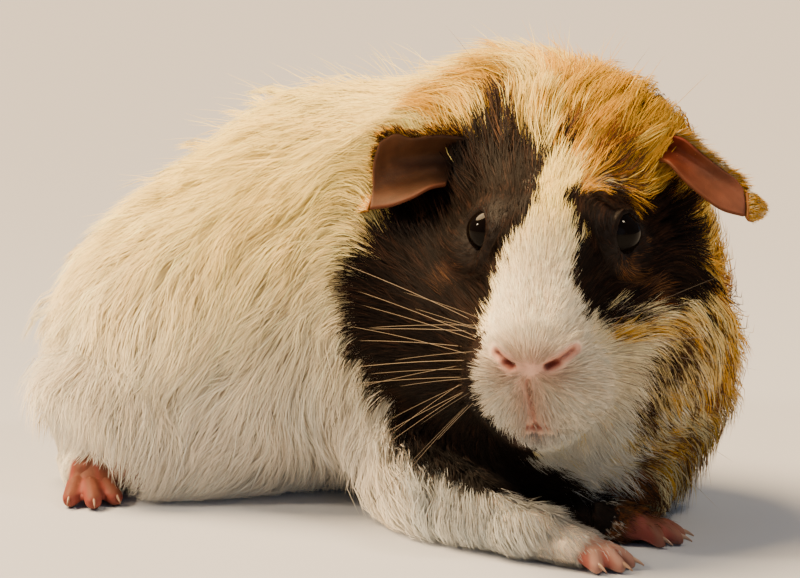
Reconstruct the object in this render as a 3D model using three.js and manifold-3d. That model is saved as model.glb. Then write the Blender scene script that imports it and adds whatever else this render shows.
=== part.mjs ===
// A life-size rough-coated guinea pig at rest, looking round to its right. Millimetres, +Z up.
// Its trunk points to -Y, its left side is +X, and it lies on z = 0 on its belly and feet.
// The solids reach out to the tips of the coat. The flesh is one smooth body that thin cuts part into nodes.
import * as THREE from "three";
import { mergeVertices } from "three/addons/utils/BufferGeometryUtils.js";
import Module from "manifold-3d";

const wasm = await Module();
wasm.setup();

// ---- Driving dimensions ----
const TRUNK_HALF_WIDTH = 53;
const BACK_HEIGHT = 117;
const HEAD_PLACE = [-34, 0, 79]; // the point midway between the eyes
const HEAD_TURN = 70; // degrees from straight ahead to the animal's right
const HEAD_ROLL = -2.5; // degrees, left eye lower
const EYE_RADIUS = 6.2;
const EYE_SPREAD = 15.5; // from the middle of the head to an eye's centre
const NOSE_AT = [0, 30.5, -28.5]; // in the head's frame
const EAR = { length: 27, width: 21, thickness: 1.8, cup: 4.5 };
const HAND = { palm: [8, 6.4, 4.4], spreads: [-34, -11, 11, 34], lengths: [7, 9.5, 10, 7.5], radius: 2.2 };
const FOOT = { spreads: [-26, 0, 26], lengths: [11, 13.5, 11.5], radius: 3 };
const CLAW = { length: 4.6, radius: 1.1 };
const CUT = 0.3; // gap between two nodes
const CELL = { trunk: 14, neck: 11, head: 6.3, muzzle: 4 }; // mesh cell of each part of the flesh

const plain = (color, roughness) => new THREE.MeshStandardMaterial({ color, roughness, metalness: 0 });
const MATERIALS = {
  whiteCoat: plain(0xe9dccb, 0.9),
  darkCoat: plain(0x2b211d, 0.85),
  gingerCoat: plain(0xc98a3c, 0.9),
  bareSkin: plain(0xc98d80, 0.6),
  earSkin: plain(0x7d4a3c, 0.55),
  eye: plain(0x120c0a, 0.08),
  claw: plain(0xd8c3a8, 0.45),
};

// ---- Places and frames ----
const V = (p) => new THREE.Vector3(...p);
const radians = THREE.MathUtils.degToRad;
const heading = (degrees) => new THREE.Vector3(Math.cos(radians(degrees)), Math.sin(radians(degrees)), 0);

function placed(at, turn = [0, 0, 0]) {
  const angles = new THREE.Euler(...turn.map(radians), "ZYX");
  return new THREE.Matrix4().makeRotationFromEuler(angles).setPosition(...at);
}

// The head's frame: right, forward and up from the point between the eyes.
const headFrame = placed(HEAD_PLACE, [0, HEAD_ROLL, 180 - HEAD_TURN]);
const headInward = headFrame.clone().invert();
const onHead = (p) => V(p).applyMatrix4(headFrame);
const headWay = (p) => V(p).transformDirection(headFrame);

// ---- Fields: functions of a point that are negative inside ----
function ellipsoid(at, [rx, ry, rz], turn) {
  const inward = placed(at, turn).invert();
  const p = new THREE.Vector3();
  return (point) => {
    p.copy(point).applyMatrix4(inward);
    const near = Math.hypot(p.x / rx, p.y / ry, p.z / rz);
    const slope = Math.hypot(p.x / rx ** 2, p.y / ry ** 2, p.z / rz ** 2);
    return slope > 1e-9 ? (near * (near - 1)) / slope : -Math.min(rx, ry, rz);
  };
}

// A straight mass whose radius runs from ra to rb.
function taper(a, b, ra, rb) {
  const start = V(a);
  const axis = V(b).sub(start);
  const p = new THREE.Vector3();
  return (point) => {
    p.copy(point).sub(start);
    const t = THREE.MathUtils.clamp(p.dot(axis) / axis.lengthSq(), 0, 1);
    return p.addScaledVector(axis, -t).length() - (ra + (rb - ra) * t);
  };
}

// A union whose joins are filled over a width.
function blend(width, ...fields) {
  const joined = (sum, next) => {
    const share = Math.max(width - Math.abs(sum - next), 0) / width;
    return Math.min(sum, next) - (share * share * width) / 4;
  };
  return (point) => fields.map((field) => field(point)).reduce(joined);
}

// A field less a hollow, with a rounded rim.
function carved(width, field, hollow) {
  const rest = blend(width, (point) => -field(point), hollow);
  return (point) => -rest(point);
}

function inHead(field) {
  const p = new THREE.Vector3();
  return (point) => field(p.copy(point).applyMatrix4(headInward));
}

function mirrored(field) {
  const p = new THREE.Vector3();
  return (point) => field(p.set(Math.abs(point.x), point.y, point.z));
}

// ---- The body's masses ----
const trunk = blend(
  24,
  ellipsoid([-1, 121, 39], [TRUNK_HALF_WIDTH - 3, 49, 43]), // rump
  ellipsoid([3, 74, BACK_HEIGHT - 58], [TRUNK_HALF_WIDTH, 58, 57]), // loin and belly
  ellipsoid([9, 27, 58], [40, 47, 57], [0, 0, 30]), // shoulders
  ellipsoid([1, 30, 96], [22, 24, 24]), // raised coat of the withers
  ellipsoid([-35, 119, 28], [19, 33, 29]), // right haunch
  ellipsoid([34, 116, 28], [19, 34, 29]), // left haunch
);
const neck = blend(
  16,
  inHead(ellipsoid([0, -29, -20], [41, 27, 37])), // ruff
  ellipsoid([-11, 14, 30], [36, 29, 30], [0, 0, 30]), // breast
  ellipsoid([3, -5, 40], [28, 29, 39]), // left shoulder
);
const skull = blend(
  9,
  ellipsoid([0, -13, -5], [21, 28, 19]), // brain case and brow
  ellipsoid([-10, -29, 11], [29, 17, 27]), // crown and its tuft
  mirrored(taper([3, 4, -5], [3.2, 23, -25], 11.5, 8)), // bridge of the nose
  mirrored(ellipsoid([18, -13, -30], [18, 23, 24])), // cheeks
  ellipsoid([0, 0, -39], [20, 24, 15]), // jaw and throat
);
const lips = blend(
  4.5,
  ellipsoid([0, 22.5, -28.5], [9.5, 7.5, 8]), // end of the nose
  mirrored(ellipsoid([8.6, 17.5, -34.5], [10.4, 13, 11])), // whisker pads
  mirrored(ellipsoid([4.2, 22.5, -37.5], [5.2, 6.2, 7.5])), // upper lip, in two lobes
  ellipsoid([0, 16, -45.5], [10.5, 10.5, 6]), // chin
);
const orbit = mirrored(ellipsoid([EYE_SPREAD + 9, 3.5, 0.5], [8.5, 9, 7.5]));
const temple = mirrored(ellipsoid([37, -3, 11], [17, 13, 14])); // the hollow in front of an ear
const face = inHead(carved(4, blend(6, skull, lips), orbit));
const flesh = carved(5, blend(12, trunk, neck, face), inHead(temple));

// ---- Surface of a field: a vertex in each cell it crosses, a square across each crossed grid edge ----
const CORNERS = [0, 1, 2, 3, 4, 5, 6, 7].map((i) => [i & 1, (i >> 1) & 1, i >> 2]);
const EDGES = CORNERS.flatMap((_, i) => [1, 2, 4].filter((bit) => !(i & bit)).map((bit) => [i, i | bit]));
const AXES = [
  [1, 0, 0],
  [0, 1, 0],
  [0, 0, 1],
];

function eachCell(from, count, visit) {
  for (let z = from; z < count[2] - 1; z++)
    for (let y = from; y < count[1] - 1; y++)
      for (let x = from; x < count[0] - 1; x++) visit([x, y, z]);
}

function surfaceOf(field, low, high, cell) {
  const count = low.map((l, k) => Math.ceil((high[k] - l) / cell) + 2);
  const key = ([x, y, z]) => x + count[0] * (y + count[1] * z);
  const shifted = (at, way, amount = 1) => at.map((value, k) => value + way[k] * amount);
  const grid = new Float64Array(count[0] * count[1] * count[2]);
  const point = (at) => V(low.map((l, k) => l + at[k] * cell));
  eachCell(0, shifted(count, [1, 1, 1]), (at) => {
    grid[key(at)] = field(point(at));
  });

  const vertices = [];
  const vertexIn = new Map();
  eachCell(0, count, (at) => {
    const corner = CORNERS.map((step) => grid[key(shifted(at, step))]);
    const crossed = EDGES.filter(([a, b]) => corner[a] < 0 !== corner[b] < 0);
    if (crossed.length === 0) return;
    const middle = new THREE.Vector3();
    for (const [a, b] of crossed) middle.add(V(CORNERS[a]).lerp(V(CORNERS[b]), corner[a] / (corner[a] - corner[b])));
    middle.multiplyScalar(cell / crossed.length).add(point(at));
    vertexIn.set(key(at), vertices.push(settled(field, middle, cell)) - 1);
  });

  const triangles = [];
  eachCell(1, count, (at) => {
    AXES.forEach((step, k) => {
      const [near, far] = [grid[key(at)], grid[key(shifted(at, step))]];
      if (near < 0 === far < 0) return;
      const [u, v] = [AXES[(k + 1) % 3], AXES[(k + 2) % 3]];
      const cells = [at, shifted(at, u, -1), shifted(shifted(at, u, -1), v, -1), shifted(at, v, -1)];
      const square = cells.map((c) => vertexIn.get(key(c)));
      if (near >= 0) square.reverse();
      const [a, b, c, d] = square.map((i) => vertices[i]);
      const split = a.distanceTo(c) < b.distanceTo(d) ? [0, 1, 2, 0, 2, 3] : [1, 2, 3, 1, 3, 0];
      triangles.push(...split.map((i) => square[i]));
    });
  });
  return manifoldOf(vertices, triangles);
}

// Moves a point onto the field's surface, by a third of a cell at most.
function settled(field, point, cell) {
  const step = cell * 0.05;
  const p = point.clone();
  for (let round = 0; round < 2; round++) {
    const value = field(p);
    const slope = V(AXES.map((axis) => (field(p.clone().addScaledVector(V(axis), step)) - value) / step));
    p.addScaledVector(slope, -value / Math.max(slope.lengthSq(), 0.05));
  }
  return point.clone().add(p.sub(point).clampLength(0, cell / 3));
}

// ---- Solids ----
function manifoldOf(vertices, triangles) {
  const vertProperties = new Float32Array(vertices.flatMap((v) => v.toArray()));
  return new wasm.Manifold(new wasm.Mesh({ numProp: 3, vertProperties, triVerts: new Uint32Array(triangles) }));
}

function solidOf(geometry) {
  geometry.deleteAttribute("normal");
  geometry.deleteAttribute("uv");
  const { attributes, index } = mergeVertices(geometry, 1e-4);
  const vertProperties = attributes.position.array;
  return new wasm.Manifold(new wasm.Mesh({ numProp: 3, vertProperties, triVerts: new Uint32Array(index.array) }));
}

function ball(at, radii, turn, around = 12) {
  const sphere = new THREE.SphereGeometry(1, around, Math.round(around * 0.6)).scale(...radii);
  return solidOf(sphere.applyMatrix4(placed(at, turn)));
}

// A closed tube along a smooth curve, rounded at both ends. The radii are spread evenly along it.
function tube(points, radii, sides = 8, steps = 6) {
  const curve = new THREE.CatmullRomCurve3(points);
  const { tangents, normals, binormals } = curve.computeFrenetFrames(steps, false);
  const radiusAt = (t) => {
    const i = Math.min(Math.floor(t * (radii.length - 1)), radii.length - 2);
    return THREE.MathUtils.lerp(radii[i], radii[i + 1], t * (radii.length - 1) - i);
  };
  const ring = (i, forward, radius) =>
    Array.from({ length: sides }, (_, k) => {
      const angle = (k / sides) * 2 * Math.PI;
      return curve
        .getPointAt(i / steps)
        .addScaledVector(tangents[i], forward)
        .addScaledVector(normals[i], Math.cos(angle) * radius)
        .addScaledVector(binormals[i], Math.sin(angle) * radius);
    });
  const [first, last] = [radii[0], radii.at(-1)];
  const middle = Array.from({ length: steps + 1 }, (_, i) => ring(i, 0, radiusAt(i / steps)));
  const rings = [ring(0, -first * 0.7, first * 0.7), ...middle, ring(steps, last * 0.7, last * 0.7)];
  const vertices = rings.flat();
  const start = vertices.push(curve.getPointAt(0).addScaledVector(tangents[0], -first)) - 1;
  const end = vertices.push(curve.getPointAt(1).addScaledVector(tangents[steps], last)) - 1;
  const triangles = [];
  for (let k = 0; k < sides; k++) {
    const next = (k + 1) % sides;
    const top = (rings.length - 1) * sides;
    triangles.push(start, next, k, end, top + k, top + next);
    for (let row = 0; row < top; row += sides) {
      triangles.push(row + k, row + next, row + sides + next, row + k, row + sides + next, row + sides + k);
    }
  }
  return manifoldOf(vertices, triangles);
}

const join = (solids) => solids.reduce((sum, solid) => sum.add(solid));
const without = (solid, cutters) => cutters.reduce((rest, cutter) => rest.subtract(cutter), solid);

// Everything near the animal on the side of a plane that the way points to.
function block(way, through) {
  const size = 500;
  const box = new THREE.BoxGeometry(size, size, size).translate(0, 0, size / 2);
  box.applyQuaternion(new THREE.Quaternion().setFromUnitVectors(V([0, 0, 1]), way));
  return solidOf(box.translate(...through.toArray()));
}
const belowFloor = block(V([0, 0, -1]), V([0, 40, 0]));

// A plane that parts two nodes, with half the cut on either side of it.
function plane(normal, through) {
  const way = normal.clone().normalize();
  const level = way.dot(through);
  const [back, front] = [-1, 1].map((sign) => {
    const face = through.clone().addScaledVector(way, (-sign * CUT) / 2);
    return block(way.clone().multiplyScalar(sign), face);
  });
  return {
    ahead: (solid) => solid.subtract(back),
    behind: (solid) => solid.subtract(front),
    // The field, closed off a little past the plane.
    aheadOf: (field, margin) => (p) => Math.max(field(p), level - margin - way.dot(p)),
    behindOf: (field, margin) => (p) => Math.max(field(p), way.dot(p) - level - margin),
  };
}

// ---- The flesh in four lengths ----
const shoulderCut = plane(V([-0.5, -0.866, 0]), V([0, 34, 60]));
const napeCut = plane(headWay([0, 0.87, 0.49]), onHead([0, -30, 15]));
const muzzleCut = plane(headWay([0, 0.995, -0.1]), onHead([0, 14, -24]));

const trunkField = shoulderCut.behindOf(flesh, 9);
const neckField = napeCut.behindOf(shoulderCut.aheadOf(flesh, 7), 7);
const headField = muzzleCut.behindOf(napeCut.aheadOf(shoulderCut.aheadOf(flesh, 5), 5), 5);
const muzzleField = muzzleCut.aheadOf(napeCut.aheadOf(flesh, 3), 3);
const trunkFlesh = shoulderCut.behind(surfaceOf(trunkField, [-90, -60, -20], [90, 200, 140], CELL.trunk));
const neckFlesh = napeCut.behind(shoulderCut.ahead(surfaceOf(neckField, [-100, -70, -20], [80, 100, 140], CELL.neck)));
const headWhole = surfaceOf(headField, [-110, -80, -10], [30, 90, 130], CELL.head);
const headFlesh = muzzleCut.behind(napeCut.ahead(shoulderCut.ahead(headWhole)));
const muzzleWhole = surfaceOf(muzzleField, [-100, -70, -12], [0, 50, 112], CELL.muzzle);
const muzzleFlesh = muzzleCut.ahead(napeCut.ahead(muzzleWhole));

// ---- Eyes, nose and ears. Each takes how far to grow it, for the socket it sits in ----
const eye = (side, grow = 0) => {
  const radius = EYE_RADIUS + grow;
  return ball(onHead([side * EYE_SPREAD, 0, 0]).toArray(), [radius, radius, radius], [0, 0, 0]);
};
const nose = (grow = 0) => {
  const at = onHead([NOSE_AT[0], NOSE_AT[1] - 1.6, NOSE_AT[2]]).toArray();
  return ball(at, [7 + grow, 4.4 + grow, 5.4 + grow], [0, HEAD_ROLL, 180 - HEAD_TURN]);
};
function nostril(side) {
  const along = (right, forward, up) => onHead([NOSE_AT[0] + side * right, NOSE_AT[1] + forward, NOSE_AT[2] + up]);
  return tube([along(1.9, 1.6, -1.9), along(4, 1.4, -0.4), along(6.4, 0.4, 2)], [0.9, 1.5, 0.8], 5, 2);
}

// A cupped petal that grows outwards from its root and droops towards its tip.
function ear(side, { root, turn, droop }, grow = 0) {
  const [rows, columns] = [6, 5];
  const point = (s, t, layer) => {
    const width = (EAR.width + 2 * grow) * Math.sqrt(1 - (0.12 + 0.865 * s) ** 3.2) * (0.72 + 0.5 * s);
    const along = (EAR.length + grow) * s - grow;
    const across = (t - 0.5) * width;
    const fall = droop * s * s;
    const hollow = EAR.cup * (1 - (2 * t - 1) ** 2) * (1 - 0.5 * s);
    const depth = (layer - 0.5) * (EAR.thickness + 2 * grow);
    return V([along * Math.cos(fall), -hollow - depth, across - along * Math.sin(fall)]);
  };
  const vertices = [];
  const sheet = [0, 1].map((layer) =>
    Array.from({ length: rows + 1 }, (_, r) =>
      Array.from({ length: columns + 1 }, (_, c) => vertices.push(point(r / rows, c / columns, layer)) - 1),
    ),
  );
  const [front, back] = sheet;
  const triangles = [];
  const quad = (a, b, c, d) => triangles.push(...(side < 0 ? [a, b, c, a, c, d] : [a, c, b, a, d, c]));
  for (let r = 0; r < rows; r++) {
    for (let c = 0; c < columns; c++) {
      quad(front[r][c], front[r + 1][c], front[r + 1][c + 1], front[r][c + 1]);
      quad(back[r][c], back[r][c + 1], back[r + 1][c + 1], back[r + 1][c]);
    }
    quad(front[r][0], back[r][0], back[r + 1][0], front[r + 1][0]);
    quad(front[r + 1][columns], back[r + 1][columns], back[r][columns], front[r][columns]);
  }
  for (let c = 0; c < columns; c++) {
    quad(front[0][c], front[0][c + 1], back[0][c + 1], back[0][c]);
    quad(front[rows][c + 1], front[rows][c], back[rows][c], back[rows][c + 1]);
  }
  const place = headFrame.clone().scale(V([side, 1, 1])).multiply(placed(root, turn));
  return manifoldOf(
    vertices.map((v) => v.applyMatrix4(place)),
    triangles,
  );
}

const EARS = {
  right: { root: [22, -15, 12.5], turn: [-8, 0, 10], droop: 0.22 },
  left: { root: [26, -16, 15.5], turn: [-26, 22, 8], droop: 0.05 },
};

// ---- Limbs, each way pointing along the floor ----
const ARMS = {
  right: { limb: [[-33, 50, 17], [-43, 28, 12], [-50, 8, 9], [-53, -7, 6.5]], heading: -88 },
  left: { limb: [[-8, 30, 18], [-18, 14, 12], [-26, -1, 9], [-29, -9, 6.5]], heading: -66 },
};
const LEGS = {
  right: { heel: [-36, 146, 6.2], heading: -138, haunch: [[-44, 124, 27], [25, 34, 34]] },
  left: { heel: [38, 142, 6.2], heading: -72, haunch: [[42, 120, 27], [25, 36, 34]] },
};

// A digit arches over its knuckle and ends on the floor, with a claw beyond its tip.
function digit(from, way, length, radius) {
  const at = (forward, up) => from.clone().addScaledVector(way, forward).setZ(up);
  const knuckles = [at(-2, radius + 1.2), at(length * 0.5, radius + 1.3), at(length, radius * 0.78)];
  const tip = length + radius * 0.3;
  const nail = [at(tip, radius), at(tip + CLAW.length * 0.5, radius * 0.95), at(tip + CLAW.length, 0.75)];
  return {
    finger: (grow) => tube(knuckles, [radius + grow, radius * 1.05 + grow, radius * 0.85 + grow], 6, 2),
    claw: (grow) => tube(nail, [CLAW.radius + grow, CLAW.radius * 0.8 + grow, 0.4 + grow], 5, 1),
  };
}

// A hand or foot: its pad, and digits that fan out from the ball of it.
function extremity(pad, ballOf, angle, { spreads, lengths, radius }, reach) {
  const digits = spreads.map((spread, i) => {
    const from = ballOf.clone().addScaledVector(heading(angle + spread * 1.7), reach);
    return digit(from, heading(angle + spread * 0.75), lengths[i], radius);
  });
  const claws = digits.map(({ claw }) => claw);
  const whole = (grow) => join([pad(grow), ...digits.map(({ finger }) => finger(grow))]);
  return { claws, whole, socket: join([whole(CUT), ...claws.map((claw) => claw(CUT))]) };
}

function forepaw({ limb, heading: angle }) {
  const wrist = V(limb.at(-1));
  const palm = wrist.clone().addScaledVector(heading(angle), 9).setZ(4.6);
  const heel = wrist.clone().addScaledVector(heading(angle), -3);
  const pad = (grow) => {
    const hand = ball(palm.toArray(), HAND.palm.map((r) => r + grow), [0, 0, angle], 9);
    return hand.add(tube([heel, palm], [5.6 + grow, 5 + grow], 7, 1));
  };
  return { ...extremity(pad, palm, angle, HAND, 3.5), wrist: plane(heading(angle), wrist) };
}

function hindfoot({ heel, heading: angle }) {
  const start = V(heel);
  const ballOf = start.clone().addScaledVector(heading(angle), 22);
  const middle = start.clone().lerp(ballOf, 0.5);
  const pad = (grow) => tube([start, middle, ballOf], [6.4 + grow, 6 + grow, 6.4 + grow], 8, 2);
  return extremity(pad, ballOf, angle, FOOT, 3);
}

// ---- Nodes ----
const model = new THREE.Group();

function show(name, solid, material) {
  const { vertProperties, triVerts } = solid.subtract(belowFloor).getMesh();
  const geometry = new THREE.BufferGeometry();
  geometry.setAttribute("position", new THREE.BufferAttribute(vertProperties, 3));
  geometry.setIndex(new THREE.BufferAttribute(triVerts, 1));
  geometry.computeVertexNormals();
  const mesh = new THREE.Mesh(geometry, MATERIALS[material]);
  mesh.name = name;
  model.add(mesh);
}

const SIDES = { right: 1, left: -1 };
const limbs = Object.entries(SIDES).map(([name, side]) => {
  const arm = (grow) => tube(ARMS[name].limb.map(V), [14, 12.5, 9.5, 6.8].map((r) => r + grow), 9, 4);
  const [at, radii] = LEGS[name].haunch;
  const haunch = (grow) => ball(at, radii.map((r) => r + grow), [0, 0, 0], 10);
  return { name, side, arm, haunch, paw: forepaw(ARMS[name]), foot: hindfoot(LEGS[name]) };
});

const armSockets = limbs.flatMap(({ arm, paw }) => [arm(CUT), paw.socket]);
const footSockets = limbs.map(({ foot }) => foot.socket);
const haunchSockets = limbs.map(({ haunch }) => haunch(CUT));
const eyeSockets = [eye(1, CUT), eye(-1, CUT)];
const earSockets = limbs.map(({ name, side }) => ear(side, EARS[name], CUT));

show("trunk", without(trunkFlesh, [...armSockets, ...footSockets, ...haunchSockets]), "whiteCoat");
show("neck", without(neckFlesh, [...armSockets, ...earSockets]), "gingerCoat");
show("head", without(headFlesh, [...eyeSockets, ...earSockets, ...armSockets]), "darkCoat");
show("muzzle", without(muzzleFlesh, [nose(CUT), ...eyeSockets]), "whiteCoat");
show("nose", without(nose(), [nostril(1), nostril(-1)]), "bareSkin");
for (const { name, side, arm, haunch, paw, foot } of limbs) {
  const clipped = ({ whole, claws }) => without(whole(0), claws.map((claw) => claw(CUT)));
  show(`eye_${name}`, eye(side), "eye");
  show(`ear_${name}`, ear(side, EARS[name]), "earSkin");
  show(`foreleg_${name}`, paw.wrist.behind(arm(0)), "whiteCoat");
  show(`forepaw_${name}`, paw.wrist.ahead(clipped(paw)), "bareSkin");
  show(`thigh_${name}`, without(trunkFlesh.intersect(haunch(0)), footSockets), "whiteCoat");
  show(`hindfoot_${name}`, clipped(foot), "bareSkin");
  paw.claws.forEach((claw, i) => show(`fore_claw_${name}_${i + 1}`, claw(0), "claw"));
  foot.claws.forEach((claw, i) => show(`hind_claw_${name}_${i + 1}`, claw(0), "claw"));
}

// The origin is on the floor below the middle of the whole animal.
const middle = new THREE.Box3().setFromObject(model).getCenter(new THREE.Vector3());
model.position.set(-middle.x, -middle.y, 0);
const part = new THREE.Group();
part.add(model);

export default part;
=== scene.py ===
"""A guinea pig, life size, resting with its head turned to its right: skin, coat, eyes, ears,
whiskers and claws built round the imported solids. Lengths in this script are millimetres until a
mesh is made."""
import math

import bpy
import numpy as np
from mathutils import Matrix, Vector
from mathutils.bvhtree import BVHTree
from mathutils.kdtree import KDTree


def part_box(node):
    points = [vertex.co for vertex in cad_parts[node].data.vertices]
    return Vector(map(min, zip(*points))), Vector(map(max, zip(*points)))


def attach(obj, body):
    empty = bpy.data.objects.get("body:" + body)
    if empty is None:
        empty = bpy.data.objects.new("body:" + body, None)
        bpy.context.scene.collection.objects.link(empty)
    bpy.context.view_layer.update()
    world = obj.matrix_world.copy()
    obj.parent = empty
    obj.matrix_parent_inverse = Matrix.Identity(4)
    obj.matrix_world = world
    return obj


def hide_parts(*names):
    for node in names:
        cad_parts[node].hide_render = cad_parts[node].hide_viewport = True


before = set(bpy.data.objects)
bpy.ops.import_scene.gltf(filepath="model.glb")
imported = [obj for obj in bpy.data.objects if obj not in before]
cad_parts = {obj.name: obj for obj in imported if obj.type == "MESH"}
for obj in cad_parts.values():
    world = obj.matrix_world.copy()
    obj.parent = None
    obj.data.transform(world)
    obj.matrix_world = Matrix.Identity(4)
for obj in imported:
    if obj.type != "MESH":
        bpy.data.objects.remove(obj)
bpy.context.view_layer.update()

MM = 0.001
SIDES = ("left", "right")
SIGN = {"left": -1, "right": 1}


# ---------------------------------------------------------------- numbers and colours

def norms(rows):
    """The length of each row."""
    return np.linalg.norm(rows, axis=-1)


def unit(way):
    way = np.asarray(way, float)
    return way / np.maximum(np.linalg.norm(way, axis=-1, keepdims=True), 1e-12)


def smooth_step(value, low, high):
    """0 up to low and 1 from high on, smooth between. Low may be the larger of the two."""
    t = np.clip((np.asarray(value, float) - low) / (high - low), 0, 1)
    return t * t * (3 - 2 * t)


def near(points, place, radius):
    """1 at a place, falling smoothly to almost nothing at twice the radius."""
    return np.exp(-(norms(points - np.asarray(place, float)) / radius) ** 2)


def mixed(first, second, share):
    """The first value or colour, drawn towards the second by a share."""
    return first * (1 - share) + second * share


def off_line(points, start, end):
    """The share of a line that lies before each point, and the point's arm out from the line."""
    start = np.asarray(start, float)
    line = np.asarray(end, float) - start
    along = np.clip((points - start) @ line / (line @ line), 0, 1)
    return along, points - start - along[:, None] * line


def groove(plan, start, end, width):
    """1 along a line seen from the front, falling to nothing over its width."""
    return np.exp(-(norms(off_line(plan, start, end)[1]) / width) ** 2)


def ripple(points, length, seed):
    """Smooth noise over space, roughly from -1 to 1, in waves of about the given length."""
    random = np.random.default_rng(seed)
    total = np.zeros(len(points))
    for _ in range(7):
        wave = unit(random.normal(size=3)) * 2 * math.pi / (length * random.uniform(0.7, 1.5))
        total += np.sin(points @ wave + random.uniform(0, 2 * math.pi))
    return total / 3.2


def drift(points, length, seeds):
    """A ripple for each axis."""
    return np.stack([ripple(points, length, seed) for seed in seeds], axis=1)


def linear(hexed):
    """An sRGB hex colour as linear numbers."""
    parts = (int(hexed[i:i + 2], 16) / 255 for i in (1, 3, 5))
    return *(c / 12.92 if c <= 0.04045 else ((c + 0.055) / 1.055) ** 2.4 for c in parts), 1.0


def rgb(hexed):
    """The same colour as an array, for mixing."""
    return np.array(linear(hexed)[:3])


# ---------------------------------------------------------------- places on the animal

def box_of(node):
    """The lowest and highest corners of a solid."""
    return (np.array(corner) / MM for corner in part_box(node))


def middle(node):
    """The middle of a solid's box."""
    low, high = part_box(node)
    return np.array((low + high) / 2) / MM


EYE_AT = {side: middle("eye_" + side) for side in SIDES}
EYE_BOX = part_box("eye_left")
EYE_RADIUS = (EYE_BOX[1].x - EYE_BOX[0].x) / 2 / MM
# Where each ball sits in its lids: the right one lies a little lower than its solid.
EYE_SEAT = {"left": EYE_AT["left"], "right": EYE_AT["right"] - (0, 0, 1.5)}
# The way an eye looks out of the head: outward, forward and up.
EYE_LOOK = (0.895, 0.446, 0.05)

# The head's own frame: right, forward and up of the middle between the eyes.
BROW = (EYE_AT["left"] + EYE_AT["right"]) / 2
RIGHTWARD = unit(EYE_AT["right"] - EYE_AT["left"])
FORWARD = unit(np.cross((0, 0, 1), RIGHTWARD))
UPWARD = np.cross(RIGHTWARD, FORWARD)
HEAD_AXES = np.array((RIGHTWARD, FORWARD, UPWARD))


def in_head(points):
    """Places in the head's frame."""
    return (np.asarray(points, float) - BROW) @ HEAD_AXES.T


def from_head(points):
    """Places of the head's frame back in the floor's."""
    return np.asarray(points, float) @ HEAD_AXES + BROW


def head_way(way):
    """A way in the head's frame, as one in the floor's."""
    return np.asarray(way, float) @ HEAD_AXES


def eye_look(side):
    """The way an eye looks."""
    return unit(head_way((SIGN[side] * EYE_LOOK[0], EYE_LOOK[1], EYE_LOOK[2])))


def wrist_of(side):
    """Where a hand joins its forearm, above the floor."""
    low, high = box_of("forepaw_" + side)
    return np.array(((low[0] + high[0]) / 2, high[1], 6))


def faceward(points):
    """0 behind the ears and 1 on the face."""
    head = in_head(points)
    return smooth_step(head[:, 1], -30, -4) * smooth_step(norms(head), 75, 55)


def on_snout(points):
    """0 behind the eyes and 1 on the muzzle."""
    head = in_head(points)
    return smooth_step(head[:, 1], 8, 22) * smooth_step(norms(head), 75, 55)


def on_feet(points):
    """1 on the hands and hind feet, falling to nothing up the limb."""
    most = np.zeros(len(points))
    for side in SIDES:
        hand = norms((points - wrist_of(side) - (0, -14, -2)) * (1, 1, 2.0))
        foot = norms((points - middle("hindfoot_" + side)) * (1, 0.75, 0.8))
        most = np.maximum(most, smooth_step(hand, 24, 13))
        most = np.maximum(most, smooth_step(foot, 25, 17))
    return most


# ---------------------------------------------------------------- camera, lights and floor

VIEW_TURN = math.radians(60)
VIEW_DIP = math.radians(8)
CAMERA_AWAY = (-529.95, -262.09, 68.0)
LENS = 108.0
SENSOR = 36.0

SUN_WAY = (60, -400, -640)
SUN_STRENGTH = 12.5
SUN_WIDTH = math.radians(34)
# Each lamp: its place, what it is aimed at, its width, its watts and its colour. The first two are
# small enough to show as sharp points of light in the eyes.
LAMPS = {
    "side_lamp": ((-420, 330, 420), (-30, -60, 70), 66, 3.2, "#FFE4C0"),
    "ceiling_lamp": ((-65, -444, 671), (-22, -77, 78), 84, 2.6, "#FFE8C8"),
    "front_fill": ((-640, -620, 300), (0, -40, 50), 520, 0.45, "#D6E4FF"),
}
STUDIO_TINT = "#CFDDF4"
STUDIO_STRENGTH = 0.25
FLOOR_METRES = 60.0


def add_camera():
    """Near the floor, off the head's left front, looking along the animal's right side."""
    data = bpy.data.cameras.new("camera")
    data.lens = LENS
    data.sensor_width = SENSOR
    data.clip_start = 0.01
    camera = bpy.data.objects.new("camera", data)
    camera.location = (BROW + CAMERA_AWAY) * MM
    camera.rotation_euler = (math.pi / 2 - VIEW_DIP, 0, -VIEW_TURN)
    bpy.context.scene.collection.objects.link(camera)
    bpy.context.scene.camera = camera


def add_lamp(name, kind, way, energy, hexed, **settings):
    """A lamp that shines along a way."""
    data = bpy.data.lights.new(name, kind)
    for setting, value in settings.items():
        setattr(data, setting, value)
    data.energy = energy
    data.color = linear(hexed)[:3]
    lamp = bpy.data.objects.new(name, data)
    lamp.rotation_euler = Vector(way).to_track_quat("-Z", "Y").to_euler()
    bpy.context.scene.collection.objects.link(lamp)
    return lamp


def add_lights():
    """A broad warm light high behind the animal, two small warm lamps, a cool fill in front and
    pale surroundings."""
    add_lamp("overhead_silk", "SUN", SUN_WAY, SUN_STRENGTH, "#FFD8A4", angle=SUN_WIDTH)
    for name, (place, target, width, watts, hexed) in LAMPS.items():
        way = Vector(target) - Vector(place)
        lamp = add_lamp(name, "AREA", way, watts, hexed, shape="DISK", size=width * MM)
        lamp.location = Vector(place) * MM
    world = bpy.data.worlds.new("studio")
    world.use_nodes = True
    surround = world.node_tree.nodes["Background"].inputs
    surround["Color"].default_value = linear(STUDIO_TINT)
    surround["Strength"].default_value = STUDIO_STRENGTH
    bpy.context.scene.world = world


def add_floor():
    deselect()
    bpy.ops.mesh.primitive_plane_add(size=FLOOR_METRES)
    floor = bpy.context.object
    floor.name = "floor"
    floor.data.materials.append(floor_material())


# ---------------------------------------------------------------- pieces and their meshes

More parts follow.
